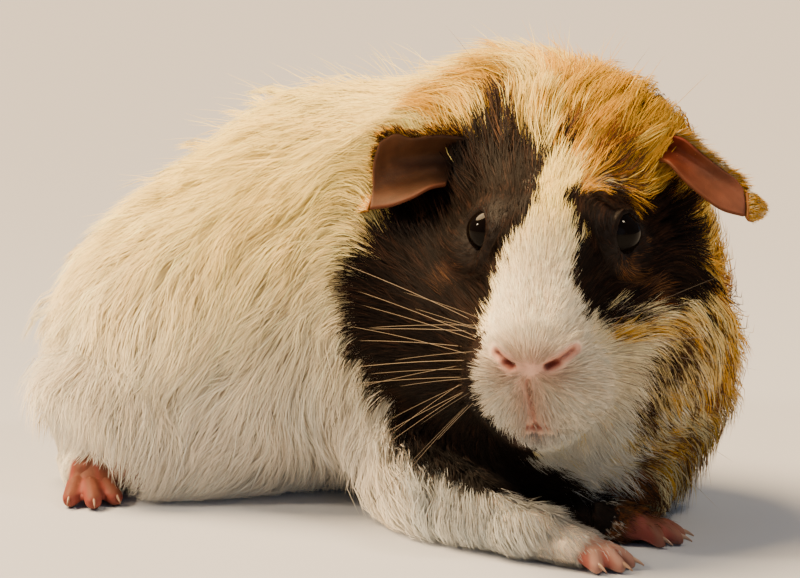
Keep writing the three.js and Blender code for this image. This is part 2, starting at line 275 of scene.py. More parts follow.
def deselect():
    if bpy.context.mode != "OBJECT":
        bpy.ops.object.mode_set(mode="OBJECT")
    bpy.ops.object.select_all(action="DESELECT")


def work_on(piece):
    deselect()
    piece.select_set(True)
    bpy.context.view_layer.objects.active = piece


def apply(piece, kind, **settings):
    """Adds a modifier to a piece and applies it."""
    work_on(piece)
    modifier = piece.modifiers.new(kind.lower(), kind)
    for name, value in settings.items():
        setattr(modifier, name, value)
    bpy.ops.object.modifier_apply(modifier=modifier.name)


def edit_whole(piece, operator, **settings):
    """Runs an edit mode operator on the whole of a piece."""
    work_on(piece)
    bpy.ops.object.mode_set(mode="EDIT")
    bpy.ops.mesh.select_all(action="SELECT")
    operator(**settings)
    bpy.ops.object.mode_set(mode="OBJECT")


def joined(pieces, name):
    deselect()
    for piece in pieces:
        piece.select_set(True)
    bpy.context.view_layer.objects.active = pieces[0]
    bpy.ops.object.join()
    pieces[0].name = name
    pieces[0].data.name = name
    return pieces[0]


def rows_of(items, what, width, kind=np.float32):
    """A property of a mesh's items as rows of numbers."""
    flat = np.empty(len(items) * width, kind)
    items.foreach_get(what, flat)
    return flat.reshape(-1, width)


def places_of(piece):
    """The corners of a piece's mesh."""
    return rows_of(piece.data.vertices, "co", 3).astype(float) / MM


def put_places(piece, places):
    piece.data.vertices.foreach_set("co", (places * MM).astype(np.float32).ravel())
    piece.data.update()


def normals_of(piece):
    return rows_of(piece.data.vertices, "normal", 3).astype(float)


def store_tint(piece, colours):
    """Keeps a colour for each corner, which the piece's material reads."""
    layer = piece.data.color_attributes.new("tint", "FLOAT_COLOR", "POINT")
    full = np.ones((len(colours), 4), np.float32)
    full[:, :3] = np.clip(colours, 0, 1)
    layer.data.foreach_set("color", full.ravel())


# ---------------------------------------------------------------- skin

BODY_FLESH = ["trunk", "neck", "head", "muzzle", "nose"] + [
    f"{part}_{side}" for part in ("foreleg", "thigh", "hindfoot") for side in SIDES]
FLESH = BODY_FLESH + [f"forepaw_{side}" for side in SIDES]
# The claws that each hand and hind foot carries.
FEET = {f"{part}_{side}": f"{claw}_{side}" for part, claw in (
    ("forepaw", "fore_claw"), ("hindfoot", "hind_claw")) for side in SIDES}
SKIN_CELL = 1.6
FOOT_CELL = 0.62
# How far the flesh is swollen first, so that the cuts between the solids close.
CUT_CLOSED = 0.45
# How far under the coat's tips the skin lies.
DEPTH = {"body": 9, "face": 2.4, "snout": 1.0}

# Places on the front of the muzzle, right and up in the head's frame. Each nostril is a slit from
# its outer to its inner end. The lips are parted only in the middle of the mouth.
NOSTRILS = {"right": ((8.9, -26.8), (5.2, -29.5)), "left": ((-9.2, -25.0), (-3.8, -29.0))}
PHILTRUM = ((1.2, -33.0), (-0.9, -44.2))
MOUTH_MIDDLE = (-0.9, -45.0)
MOUTH_CORNERS = {"right": (3.6, -45.3), "left": (-8.5, -44.4)}
MOUTH_PARTED = {"right": (1.2, -45.2), "left": (-4.0, -44.8)}

# How wide the lids open round the look, how far they stand over the ball, and how deep the skin
# lies under it inside the opening.
LID_OPEN = math.radians(56)
LID_LIFT = 1.0
LID_UNDER = 1.4

# A digit's half thickness, and how far back towards the foot's middle it starts.
DIGIT = {"hand": (2.0, 0.66), "foot": (2.55, 0.62)}
WRIST_RADIUS = 5.6


def flesh_copy(node):
    """A copy of a solid's mesh, its loose triangles merged."""
    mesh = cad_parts[node].data.copy()
    mesh.materials.clear()
    piece = bpy.data.objects.new(node + "_flesh", mesh)
    bpy.context.scene.collection.objects.link(piece)
    edit_whole(piece, bpy.ops.mesh.remove_doubles, threshold=0.00001)
    return piece


def coat_depth(points):
    """How far under the coat's tips the skin lies at each point: least on the face, forearms and
    feet, and next to nothing where the animal lies on the floor."""
    depth = DEPTH["body"] - 2 * near(in_head(points), (-8, -26, 10), 30)
    depth = mixed(depth, DEPTH["face"], faceward(points))
    depth = mixed(depth, DEPTH["snout"], on_snout(points))
    for side in SIDES:
        eye = norms(points - EYE_SEAT[side])
        depth *= smooth_step(eye, EYE_RADIUS + 1, EYE_RADIUS + 9)
        depth *= 1 - 0.62 * near(points, wrist_of(side) + (2, 12, 4), 20)
    depth *= 1 - smooth_step(on_feet(points), 0.0, 0.6)
    return depth * (0.1 + 0.9 * smooth_step(points[:, 2], 0.5, 14))


def keep_share(piece, name, shares):
    """A vertex group that holds a share for each corner, in steps of a twentieth."""
    group = piece.vertex_groups.new(name=name)
    steps = np.round(shares * 20).astype(int)
    for step in np.unique(steps):
        group.add(np.nonzero(steps == step)[0].tolist(), step / 20, "REPLACE")
    return name


def divide_where(piece, wanted):
    """Cuts each face where wanted(middles) holds into smaller ones."""
    work_on(piece)
    mesh = piece.data
    chosen = wanted(rows_of(mesh.polygons, "center", 3).astype(float) / MM)
    mesh.vertices.foreach_set("select", np.zeros(len(mesh.vertices), bool))
    mesh.edges.foreach_set("select", np.zeros(len(mesh.edges), bool))
    mesh.polygons.foreach_set("select", chosen)
    bpy.ops.object.mode_set(mode="EDIT")
    bpy.ops.mesh.select_mode(type="FACE")
    bpy.ops.mesh.subdivide(number_cuts=1, smoothness=0.0)
    bpy.ops.object.mode_set(mode="OBJECT")


def between(inner, outer, right, up):
    """A place on the front of the muzzle part of the way from one to another."""
    return inner[0] + right * (outer[0] - inner[0]), inner[1] + up * (outer[1] - inner[1])


def snout_relief(head):
    """How far the skin of the nose and lips stands out or sinks."""
    plan = head[:, (0, 2)]
    relief = np.zeros(len(head))
    for side, (outer, inner) in NOSTRILS.items():
        sign = SIGN[side]
        # The slit, and the hole at its inner end.
        relief -= 1.3 * groove(plan, outer, inner, 0.5)
        relief -= 2.0 * groove(plan, between(inner, outer, 0.3, 0.22), inner, 0.85)
        # The wing over it, and the rim under it.
        relief += 0.8 * groove(plan, (outer[0] - 0.4 * sign, outer[1] + 1.9),
                               (inner[0] + 0.6 * sign, inner[1] + 2.3), 1.4)
        relief += 0.6 * groove(plan, (outer[0] - 1.0 * sign, outer[1] - 2.4),
                               (inner[0], inner[1] - 2.1), 1.2)
        # The mouth, and the upper lip beside the line under the nose.
        relief -= 0.9 * groove(plan, MOUTH_MIDDLE, MOUTH_CORNERS[side], 0.75)
        relief += 0.5 * groove(plan, (sign * 2.4 + 0.8, -34), (sign * 3.2 - 0.7, -42), 1.7)
    relief -= 1.0 * groove(plan, *PHILTRUM, 0.6)
    # The lower lip.
    relief += 0.5 * groove(plan, (-4.5, -48.4), (2.5, -48.4), 1.8)
    return relief * smooth_step(head[:, 1], 10, 20)


def set_lids(points):
    """Draws the skin round each eye over the ball's edge, and under the ball inside the opening."""
    placed = points.copy()
    under = EYE_RADIUS - LID_UNDER
    for side in SIDES:
        arm = points - EYE_SEAT[side]
        reach = norms(arm)
        ray = arm / reach[:, None]
        turn = np.arccos(np.clip(ray @ eye_look(side), -1, 1))
        close = smooth_step(reach, EYE_RADIUS + 5.5, EYE_RADIUS + 2.5)
        lid = EYE_RADIUS + LID_LIFT * smooth_step(turn, LID_OPEN + 0.50, LID_OPEN + 0.10)
        wanted = mixed(under, np.maximum(lid, reach),
                       smooth_step(turn, LID_OPEN - 0.05, LID_OPEN + 0.07))
        placed += ray * ((wanted - reach) * close * (turn < LID_OPEN + 0.9))[:, None]
    return placed


def claws_of(kind):
    """Each claw of a foot: its node, the middle of its root and its point."""
    for number in range(1, 5):
        name = f"{kind}_{number}"
        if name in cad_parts:
            corners = places_of(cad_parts[name])
            centre = corners.mean(0)
            axis = np.linalg.svd(corners - centre, full_matrices=False)[2][0]
            axis *= np.sign(-axis[2]) or 1
            along = (corners - centre) @ axis
            root, point = along < along.min() + 0.6, along > along.max() - 0.6
            yield name, corners[root].mean(0), corners[point].mean(0)


def ball(place, radius):
    bpy.ops.mesh.primitive_uv_sphere_add(segments=20, ring_count=12, radius=radius * MM,
                                         location=tuple(np.asarray(place) * MM))
    piece = bpy.context.object
    bpy.ops.object.transform_apply(location=True, rotation=True, scale=True)
    return piece


def build_digit(start, root, thick):
    """Balls from a foot's middle to a claw's root, arched between, with two knuckles."""
    for share in np.linspace(0, 1, 9):
        place = mixed(start, root, share)
        arch = 2.4 * (1 - share) ** 1.2 * share * 2.2
        place[2] = thick + 0.2 + arch + (1 - share) * 1.6
        knuckles = (1 + 0.10 * math.exp(-((share - 0.45) / 0.10) ** 2)
                    + 0.07 * math.exp(-((share - 0.8) / 0.08) ** 2))
        yield ball(place, thick * (1.0 - 0.26 * share) * knuckles)


def build_foot(node, kind):
    """A hand or hind foot at a finer cell than the body, with its digits and a hand's wrist."""
    deselect()
    hand = node.startswith("forepaw")
    thick, back = DIGIT["hand" if hand else "foot"]
    parts = [flesh_copy(node)]
    for _, root, _ in claws_of(kind):
        start = mixed(root, middle(node), back)
        parts += build_digit(start, root, thick)
    if hand:
        wrist = wrist_of(node.removeprefix("forepaw_"))
        parts += [ball(wrist + (0, offset, 0.5), WRIST_RADIUS) for offset in (1, 4, 7)]
    foot = joined(parts, node + "_skin")
    apply(foot, "REMESH", mode="VOXEL", voxel_size=FOOT_CELL * MM, use_smooth_shade=True)
    apply(foot, "SMOOTH", factor=0.5, iterations=7)
    return foot


def fine(middles):
    """Round the eyes and on the front of the head."""
    near_eye = [norms(middles - EYE_SEAT[side]) < EYE_RADIUS + 3 for side in SIDES]
    return (in_head(middles)[:, 1] > 16) | near_eye[0] | near_eye[1]


def finest(middles):
    """On the nose and lips."""
    head = in_head(middles)
    return (head[:, 1] > 20) & (np.abs(head[:, 0]) < 12) & (head[:, 2] < -20)


def build_skin():
    """The skin over all the flesh, under the coat, with nostrils, lips and lids."""
    domes = [ball(EYE_SEAT[side], EYE_RADIUS + 1.0) for side in SIDES]
    skin = joined([flesh_copy(node) for node in BODY_FLESH] + domes, "skin")
    apply(skin, "DISPLACE", strength=CUT_CLOSED * MM, mid_level=0.0)
    apply(skin, "REMESH", mode="VOXEL", voxel_size=SKIN_CELL * MM, use_smooth_shade=True)
    evened = keep_share(skin, "evened", 1 - 0.80 * on_snout(places_of(skin)))
    apply(skin, "SMOOTH", factor=0.7, iterations=40, vertex_group=evened)
    places = places_of(skin)
    behind = keep_share(skin, "behind_face", 1 - faceward(places))
    put_places(skin, places - normals_of(skin) * (coat_depth(places) + CUT_CLOSED)[:, None])
    apply(skin, "SMOOTH", factor=0.6, iterations=12, vertex_group=behind)
    divide_where(skin, fine)
    divide_where(skin, finest)
    apply(skin, "SMOOTH", factor=0.5, iterations=3)
    places = set_lids(places_of(skin))
    places += normals_of(skin) * snout_relief(in_head(places))[:, None]
    put_places(skin, places)
    skin.vertex_groups.clear()
    skin = joined([skin] + [build_foot(node, kind) for node, kind in FEET.items()], "skin")
    places = places_of(skin)
    places[:, 2] = np.maximum(places[:, 2], 0.05)
    put_places(skin, places)
    edit_whole(skin, bpy.ops.uv.smart_project, angle_limit=math.radians(70), island_margin=0.002)
    skin.data.uv_layers.active.name = "unwrap"
    return skin


# ---------------------------------------------------------------- markings

WHITE, CREAM, GINGER, RUST, SABLE, BROWN, BLACK = range(7)
COAT_TINTS = np.array([rgb(hexed) for hexed in (
    "#F8EEDA", "#F2DAA0", "#DEA430", "#8E5426", "#5C3E24", "#322016", "#18100B")])

# Each marking is a stroke of balls (right, forward and up in the head's frame, then radius), laid
# over the ones before it. Its tints are what share of its hairs has which colour. What no stroke
# covers is white.
MARKINGS = [
    ("ginger_ruff", {GINGER: 0.46, CREAM: 0.22, RUST: 0.16, SABLE: 0.16},
     [(-12, -30, 24, 22), (-26, -26, 14, 17), (-38, -28, -6, 18), (-42, -30, -30, 20),
      (-38, -24, -56, 17)]),
    ("ginger_shoulder", {GINGER: 0.34, CREAM: 0.28, RUST: 0.12, SABLE: 0.26},
     [(-36, -24, -50, 17), (-28, -18, -66, 12)]),
    # Rust and brown hair over the left hand: partly the coat's colour, partly painted shade, as the
    # hand lies under the chin.
    ("rusty_hand_in_shade", {RUST: 0.30, SABLE: 0.30, BROWN: 0.40},
     [(-26, -10, -66, 8), (-13, -7, -72, 7), (-36, 1.5, -74, 8)]),
    ("pale_jowl", {CREAM: 0.42, WHITE: 0.10, GINGER: 0.14, SABLE: 0.24, BROWN: 0.10},
     [(-39, -12, -13, 5), (-42, -12, -24, 7), (-39, -7, -32, 8), (-34, -3, -42, 9),
      (-28, 0, -53, 8)]),
    ("streaked_jowl", {BROWN: 0.42, BLACK: 0.14, SABLE: 0.16, CREAM: 0.28},
     [(-36, 0, -27, 4), (-30, 6, -31, 4.5), (-31, 5, -37, 4.5), (-28, 6, -42, 3.6),
      (-26, 5, -47, 2.4)]),
    ("streaked_edge", {BROWN: 0.40, SABLE: 0.30, CREAM: 0.30},
     [(-35, -1, -27, 2.2), (-38, -5, -36, 2.4)]),
    ("dark_side", {BLACK: 0.88, BROWN: 0.12},
     [(20, -14, 15, 13), (28, -12, 12, 13), (27, -6, -2, 18), (33, -9, -18, 22),
      (34, -11, -34, 21), (27, -4, -47, 17), (12, 4, -60, 11), (-4, 0, -66, 8.5),
      (-14, 0, -71, 6)]),
    ("dark_muzzle_side", {BLACK: 0.88, BROWN: 0.12},
     [(9, -9, 17, 4.8), (10.5, -1, 12.5, 6.8), (12, 6, 8.5, 7.6), (13, 10, 3, 7),
      (14, 12, -3, 6.5), (15, 11, -12, 7.5), (17, 10, -22, 9), (17, 16, -30, 10),
      (16, 18, -36, 10), (12, 18, -43, 10), (6, 17, -50, 9)]),
    ("dark_whisker_bed", {BLACK: 0.85, BROWN: 0.15},
     [(24, 6, -20, 8), (24, 6, -28, 9), (23, 6, -36, 9)]),
    ("dark_nape", {BLACK: 0.80, BROWN: 0.20},
     [(36, -13, 3, 9), (38, -11, -6, 10), (42, -10, -16, 10)]),
    ("brown_round_eye", {BROWN: 0.25, BLACK: 0.75},
     [(12.7, 11, 1, 3), (19.2, -2, 4.5, 5), (23, -1, -3, 6), (26, -5, -8, 5)]),
    ("rusty_spot", {SABLE: 0.32, BROWN: 0.68}, [(26.3, 2.5, -12.8, 3.0), (28, 0, -15, 2.0)]),
    ("gold_fringe", {CREAM: 0.45, GINGER: 0.30, BROWN: 0.25},
     [(55, -15, -2, 2.6), (57, -17, -14, 2.6)]),
    ("crown_right", {GINGER: 0.84, CREAM: 0.16},
     [(38, -25, 22, 4.5), (33, -25, 31, 8.5), (24, -25, 37, 9), (12, -32, 44, 10),
      (0, -32, 44, 9)]),
    ("crown_pale", {GINGER: 0.30, CREAM: 0.70}, [(31, -21, 28, 3.6), (25, -24, 33, 3.6)]),
    ("crown_line", {BROWN: 0.60, SABLE: 0.25, BLACK: 0.15},
     [(20.6, -25.3, 37.1, 1.4), (18.5, -18.2, 29.9, 2.8)]),
    ("crown_white", {WHITE: 0.55, CREAM: 0.45},
     [(13, -29, 40, 6), (8, -23, 37, 5.4), (9.5, -18, 31, 5), (4.5, -16, 28, 4)]),
    ("crown_left", {GINGER: 0.94, CREAM: 0.06},
     [(-7, -24, 37, 9.5), (-17, -18, 30, 11), (-24, -17, 25, 11), (-27, -16, 17, 7)]),
    ("dark_tuft", {BLACK: 0.50, BROWN: 0.40, SABLE: 0.10},
     [(18.2, -18, 30.5, 3.2), (15, -14, 23.5, 4.6), (10, -12, 20.5, 4.4),
      (5.8, -9.5, 17, 3.4)]),
    ("dark_ear_root", {BLACK: 0.65, BROWN: 0.35},
     [(22, -14, 20, 6), (28, -14, 17, 6.5), (32, -12, 9, 6)]),
    ("golden_tips", {GINGER: 0.55, CREAM: 0.45}, [(6.8, -16.6, 29.6, 2.2), (9, -17, 30.4, 1.6)]),
    ("dark_brush", {BLACK: 0.45, BROWN: 0.40, SABLE: 0.15},
     [(1.8, -14, 26, 1.6), (-1.2, -12.6, 24, 1.8), (-0.8, -11.4, 21.2, 1.5)]),
    ("dark_temple", {BLACK: 0.72, BROWN: 0.28},
     [(-7, 5, 9, 5.0), (-14, 6, 4, 8.5), (-20, 4, -5, 11.5), (-29, -4, -6, 12.5),
      (-36, -12, -5, 11), (-41, -18, -1, 9)]),
    ("dark_blaze_side", {BLACK: 0.80, BROWN: 0.20},
     [(-10.5, 12, 3, 5), (-11, 13, -3, 7), (-12, 15, -10, 8), (-13, 16, -15, 7)]),
    ("dark_brow", {BLACK: 0.62, BROWN: 0.38},
     [(-11, 1, 10, 5), (-16, -3, 9, 5.5), (-23, -9, 7, 6), (-29, -14, 5, 8),
      (-37, -18, 3, 8)]),
    ("golden_band", {GINGER: 0.34, CREAM: 0.34, SABLE: 0.32},
     [(-18, 10, -23.5, 2.8), (-26, 5, -22.5, 3.2), (-33, 0, -21, 3.4), (-38, -6, -19, 3)]),
    ("black_edge", {BLACK: 0.85, BROWN: 0.15},
     [(-13, 14.7, -16.7, 3.4), (-15.2, 11, -18.6, 2.6), (-20, 9, -19, 2), (-26, 6, -18, 2)]),
    ("dark_lock", {BLACK: 0.8, BROWN: 0.2},
     [(-34, -7, -10, 5), (-35, -4, -15, 3.4), (-35, -2, -19, 1.6)]),
    ("brown_cheekbone", {BROWN: 0.56, SABLE: 0.40, RUST: 0.04},
     [(-23, -3, -2, 2.4), (-19.5, 5, -8, 3.6), (-25, 2, -10.5, 4), (-30, 0, -15, 2.6)]),
    ("lock_inner", {GINGER: 0.80, CREAM: 0.14, RUST: 0.06},
     [(-7, -13, 24, 4), (-9, -9.5, 17, 4), (-9, -4, 13.5, 3.2), (-8.2, -0.5, 11.4, 2.0)]),
    ("lock_outer", {GINGER: 0.34, SABLE: 0.36, RUST: 0.20, BROWN: 0.10},
     [(-14.5, -12.6, 21.9, 3.4), (-16, -10, 14.8, 3.2), (-18.4, -7.5, 8, 2.4),
      (-19.2, -5, 4.4, 1.4)]),
    ("temple_smudge", {BROWN: 0.75, SABLE: 0.25}, [(-19, -12.8, 19.7, 1.5), (-20.6, -12, 15, 2.0)]),
    ("blaze", {WHITE: 1.0},
     [(2.6, -11, 21, 0.4), (2.4, -5, 14.5, 1.3), (1.8, 1, 10.8, 2.3), (1.2, 7.5, 8.2, 3.0),
      (0.4, 13.5, 3, 3.8), (0.5, 15.5, -0.4, 5.8), (1.1, 14.5, -4.5, 8.5), (1.3, 14.5, -8, 9.2),
      (1.8, 14.5, -13, 10.2), (2.0, 14, -17.5, 11.6), (2.2, 13.5, -22, 13.6),
      (0.2, 17, -26.5, 14.4), (-1, 22, -30, 15.7), (-1, 22, -34, 15.0), (-2, 22, -38, 11.4),
      (-4.4, 21, -43, 8.8), (-7.4, 19, -48, 6.2)]),
    ("blaze_cheek", {WHITE: 0.94, CREAM: 0.06},
     [(-7, 13, -27, 10.5), (-9.5, 11, -34, 11.0), (-9, 10, -40, 11.5), (-8, 9, -46, 10.5)]),
    ("blaze_streak", {WHITE: 0.30, CREAM: 0.20, BROWN: 0.50},
     [(11.4, 11.5, 0.4, 0.6), (11.0, 9.5, 4, 0.4)]),
    ("blaze_wisp", {WHITE: 0.7, CREAM: 0.3}, [(-8, 14, 0, 0.9), (-12.3, 10.5, 2.8, 0.4)]),
    ("throat", {WHITE: 0.92, CREAM: 0.08},
     [(-7, 15, -50, 8), (-13, 6, -57, 8.5), (-19, -1, -61, 7)]),
]
# How far a hair may stray over a marking's edge, and how far the edge itself wanders.
FEATHER = 0.6
WANDER = 0.8

# Bare skin: pink on the nose and lips, duller on the hands and feet. The dark red is the lining
# of the nostrils and mouth with painted shade of these hollows, and painted shade between digits.
BARE_PINK = rgb("#BE9382")
HOLLOW_RED_AND_SHADE = rgb("#85433A")
PALM_PINK = rgb("#9A7567")
# Darker pink for the left hand and the hind feet: partly their own skin, partly painted shade, the
# left hand lying in the chin's shadow.
PALM_DARK_AND_SHADED = rgb("#6C4032")
DARK_LID = rgb("#17100D")
# Painted shade deep in the coat: the skin takes the markings dimmer, as at the hairs' roots.
# What is left there of red, green and blue.
AT_ROOTS = (0.85, 0.78, 0.72)


def inside_stroke(points, stroke):
    """How far inside a stroke of balls each point lies."""
    balls = np.array(stroke, float)
    deepest = np.full(len(points), -1e3)
    for first, last in zip(balls, balls[1:]):
        along, arm = off_line(points, first[:3], last[:3])
        deepest = np.maximum(deepest, mixed(first[3], last[3], along) - norms(arm))
    return deepest


def pick_tints(tints, chance):
    """The tint that each chance falls on, by the tints' shares."""
    steps = np.cumsum(list(tints.values()))
    return np.array(list(tints))[np.minimum(np.searchsorted(steps, chance), len(steps) - 1)]


def tint_numbers(points, random):
    """Which coat tint each hair or corner of the skin has."""
    head = in_head(points) + random.normal(size=points.shape) * FEATHER
    head += drift(points, 14, (61, 62, 63)) * WANDER
    numbers = np.full(len(points), WHITE)
    chance = random.random(len(points))
    for _, tints, stroke in MARKINGS:
        covered = inside_stroke(head, stroke) > 0
        numbers = np.where(covered, pick_tints(tints, chance), numbers)
    return numbers


def bareness(points):
    """1 where the skin is bare: round the nostrils, under the nose, and on the palms, fingers and
    toes."""
    head = in_head(points)
    plan = head[:, (0, 2)]
    bare = 0.55 * groove(plan, *PHILTRUM, 1.6)
    for side in SIDES:
        bare = np.maximum(bare, groove(plan, *NOSTRILS[side], 1.8))
    bare *= smooth_step(head[:, 1], 12, 22)
    for side in SIDES:
        low, high = box_of("forepaw_" + side)
        reach = wrist_of(side)[1] - points[:, 1]
        within = ((points[:, 0] > low[0] - 2) & (points[:, 0] < high[0] + 2)
                  & (points[:, 2] < 11.5 - 0.25 * reach))
        furred = 1 - 0.42 * smooth_step(points[:, 2], 3.5, 5.5)
        bare = np.maximum(bare, smooth_step(reach, 9, 15) * within * furred)
        low, high = box_of("hindfoot_" + side)
        ankle = mixed(low[1], high[1], 0.78)
        within = ((points[:, 0] > low[0] - 3) & (points[:, 0] < high[0] + 3)
                  & (points[:, 1] > low[1] - 3))
        under = smooth_step(points[:, 2], 13.5, 11.5)
        instep = (smooth_step(points[:, 1], low[1] + 14, low[1] + 22)
                  * smooth_step(points[:, 2], 2.5, 6))
        toeward = smooth_step(points[:, 1], ankle + 3, ankle - 3)
        bare = np.maximum(bare, within * toeward * under * (1 - instep))
    return np.clip(bare, 0, 1)


def rosiness(points):
    """How far the fine hairs let the pink of the nose and the upper lip show."""
    head = in_head(points)
    plan = head[:, (0, 2)]
    rosy = np.maximum(groove(plan, NOSTRILS["right"][1], NOSTRILS["left"][1], 6.0),
                      groove(plan, *PHILTRUM, 5.0))
    return (0.78 * rosy * smooth_step(head[:, 1], 17, 26))[:, None]


def red_and_shade_in_hollows(points):
    """How far the dark red shows: 1 in the nostrils and less in the mouth and the line under the
    nose, the red of their lining with painted shade of these hollows.
    """
    head = in_head(points)
    plan = head[:, (0, 2)]
    raw = 0.25 * groove(plan, *PHILTRUM, 0.6)
    for side, (outer, inner) in NOSTRILS.items():
        raw = np.maximum(raw, 0.5 * groove(plan, outer, inner, 0.7))
        raw = np.maximum(raw, groove(plan, between(inner, outer, 0.35, 0.25), inner, 1.0))
        raw = np.maximum(raw, 0.7 * groove(plan, MOUTH_MIDDLE, MOUTH_CORNERS[side], 0.8))
    return (raw * smooth_step(head[:, 1], 12, 22))[:, None]


def off_digits(points):
    """How far each point lies from the nearest digit's middle line, seen from above."""
    gap = np.full(len(points), 99.0)
    for node, kind in FEET.items():
        for _, root, _ in claws_of(kind):
            _, arm = off_line(points, mixed(root, middle(node), 0.66), root)
            gap = np.minimum(gap, norms(arm[:, :2]))
    return gap


def paint_skin(skin):
    """Gives the skin the coat's markings under the painted shade of the hairs' roots, pink where it
    is bare, darker on the left hand and the hind feet, partly with painted shade, dark red with
    painted shade in the nostrils and the mouth, painted shade between the digits, and dark round
    the eyes."""
    random = np.random.default_rng(11)
    points = places_of(skin)
    # The markings under painted shade, as deep in the coat.
    markings = COAT_TINTS[tint_numbers(points, random)] * AT_ROOTS
    limb = smooth_step(points[:, 2], 30, 20)[:, None]
    # Painted shade, with darker skin, on the left hand under the chin and on the hind feet.
    dark_and_shaded = np.maximum(near(points, wrist_of("left") + (0, -14, 0), 16),
                       1.0 * (points[:, 1] > 0))[:, None]
    pink = mixed(BARE_PINK, mixed(PALM_PINK, PALM_DARK_AND_SHADED, dark_and_shaded), limb)
    pink = pink * (1 + 0.10 * ripple(points, 9, 5))[:, None]
    # Painted shade between the digits, in the dark red.
    pink = mixed(pink, HOLLOW_RED_AND_SHADE, (0.85 * smooth_step(off_digits(points), 1.2, 2.1))[:, None] * limb)
    bare = np.maximum(smooth_step(bareness(points), 0.25, 0.6)[:, None], 1.2 * rosiness(points))
    colours = mixed(markings, pink, bare.clip(0, 1))
    # The dark red of the nostrils and mouth, with painted shade of these hollows.
    colours = mixed(colours, HOLLOW_RED_AND_SHADE, red_and_shade_in_hollows(points))
    for side in SIDES:
        eye = norms(points - EYE_SEAT[side])
        lid = smooth_step(eye, EYE_RADIUS + 7.5, EYE_RADIUS + 3.5)[:, None]
        colours = mixed(colours, DARK_LID, lid)
    store_tint(skin, colours)


# ---------------------------------------------------------------- coat

# Each kind of hair: how many there are and how wide, the places along each after its root, how
# much of the coat's depth it stands through, how far it gathers into locks and a lock's hairs.
COAT_KINDS = {
    "face": {"count": 80000, "width": 0.19, "steps": 2, "stand": 0.90, "gather": 0.25, "lock": 9},
    "body": {"count": 78000, "width": 0.23, "steps": 3, "stand": 0.85, "gather": 0.30, "lock": 14},
}
COAT_SHARE = 1.0
EAR_SHARE = 1.0
MOST_TRIANGLES = 190000
# The least height of a hair over the floor.
FLOOR_GAP = 0.25
# Each hair's patch of the unwrap, as a share of the whole.
PATCH = 0.003
# How much narrower a hair grows towards its tip, how flat it is, and the light left at its root
# under the painted shade of the coat's depth.
HAIR_TAPER = 0.45
HAIR_FLATNESS = 0.7
ROOT_LIGHT = 0.80
# How far a hair's shading follows the skin rather than its own sides.
COAT_SOFTNESS = 0.7

# Length of the coat by where it grows.
LENGTH = {"body": 25.0, "ruff": 15.0, "face": 8.0, "snout": 3.4, "crown": 14.0, "forearm": 8.0,
          "chin": 15.0, "rump": 14.0, "feet": 4.6}

GUARD_HAIRS = 420
GUARD_WIDTH = 0.17
GUARD_LENGTH = (9, 17)
# Guard hairs rise no higher than this.
GUARD_TOP = 130
# Hairs that reach out past this on the left are drawn in by most of the rest.
LEFT_REACH = 65.5
DRAWN_IN = 0.75

# The hair of the head lies away from here, in the head's frame.
NOSE_TIP = (0.5, 33, -30)
# Where it turns another way: the place, the way it is drawn and how far that reaches.
COMBED = [
    ((-14, -2, 12), (-0.1, 0.9, -0.8), 8),
    ((-20, -6, 10), (-0.2, 0.8, -0.9), 7),
    ((14, -18, 30), (0.1, -0.6, 1.0), 10),
    ((-20, -22, 26), (-0.5, -0.6, 0.5), 14),
    ((0, 16, -52), (0, -0.3, -1.0), 12),
    ((-18, 4, -58), (-0.2, -0.1, -1.0), 14),
    ((-32, 2, -34), (0.35, -0.2, -1.1), 9),
    ((-40, -14, -12), (0, -0.2, -1.2), 14),
    ((-42, -14, -30), (0, -0.2, -1.2), 14),
]
# Each forearm's elbow and fingers, seen from its wrist: its hair lies along the line between.
FOREARMS = {"left": ((16, 34, 6), (0, -16, 0)), "right": ((20, 45, 6), (0, -16, 0))}

# What is taken off red, green and blue: the white coat is creamier higher up, partly its own cream
# and partly painted warm light from above; the crown's ginger is painted darker and more golden on
# top, against the strong light there; and painted shade of the head dims the hair low in front.
CREAM_AND_WARM_LIGHT = (0.0, 0.14, 0.66)
GOLDEN_AGAINST_TOP_LIGHT = (0.13, 0.07, 0.40)
SHADE_BELOW = (0.38, 0.30, 0.20)
# What is taken off all three on the lower face, which turns from the light: painted shade.
LOW_FACE_SHADE = 0.28
# How much of the right hand's pink shows through its hair.
HAND_SHOWS = 0.42
# The share of hairs that have their lock's tint rather than their own.
WITH_LOCK = 0.62

# A hair is left out that comes this near an ear seen from the front, unless it lies this far
# behind it or the ear is still this near its root.
EAR_CLEAR = 1.1
EAR_BEHIND = 1.6
EAR_ROOT = 0.12


def lie(points, normals):
    """Which way the coat lies at each point: away from the nose on the head, back and down on the
    body, along the forearms and outward round the eyes."""
    head = in_head(points)
    height = smooth_step(points[:, 2], 20, 100)
    body = np.stack([0.15 * np.sign(points[:, 0] - 6), 0.22 + 0.95 * height,
                     -1.15 + 0.35 * height], axis=1)
    away = unit(head - NOSE_TIP)
    away[:, 2] += 0.10
    on_head = smooth_step(norms(head - (0, -8, -18)), 64, 44)[:, None]
    way = mixed(unit(body), head_way(away), on_head)
    for place, push, reach in COMBED:
        way += head_way(push) * (near(head, place, reach) * 1.6)[:, None]
    for side, (elbow, fingers) in FOREARMS.items():
        start, end = wrist_of(side) + elbow, wrist_of(side) + fingers
        _, arm = off_line(points, start, end)
        way += unit(end - start) * (2.2 * np.exp(-(norms(arm) / 17) ** 2))[:, None]
    way = unit(way)
    for side in SIDES:
        arm = points - EYE_SEAT[side]
        look = eye_look(side)
        outward = unit(arm - look * (arm @ look)[:, None])
        close = smooth_step(norms(arm), EYE_RADIUS + 9, EYE_RADIUS + 4)[:, None]
        inward = np.minimum((way * outward).sum(1), 0)[:, None]
        way += outward * (0.40 - 1.1 * inward) * close
    way += drift(points, 46, (21, 22, 23)) * (0.30 * (1 - faceward(points)) + 0.05)[:, None]
    way -= normals * (way * normals).sum(1)[:, None]
    return unit(way)


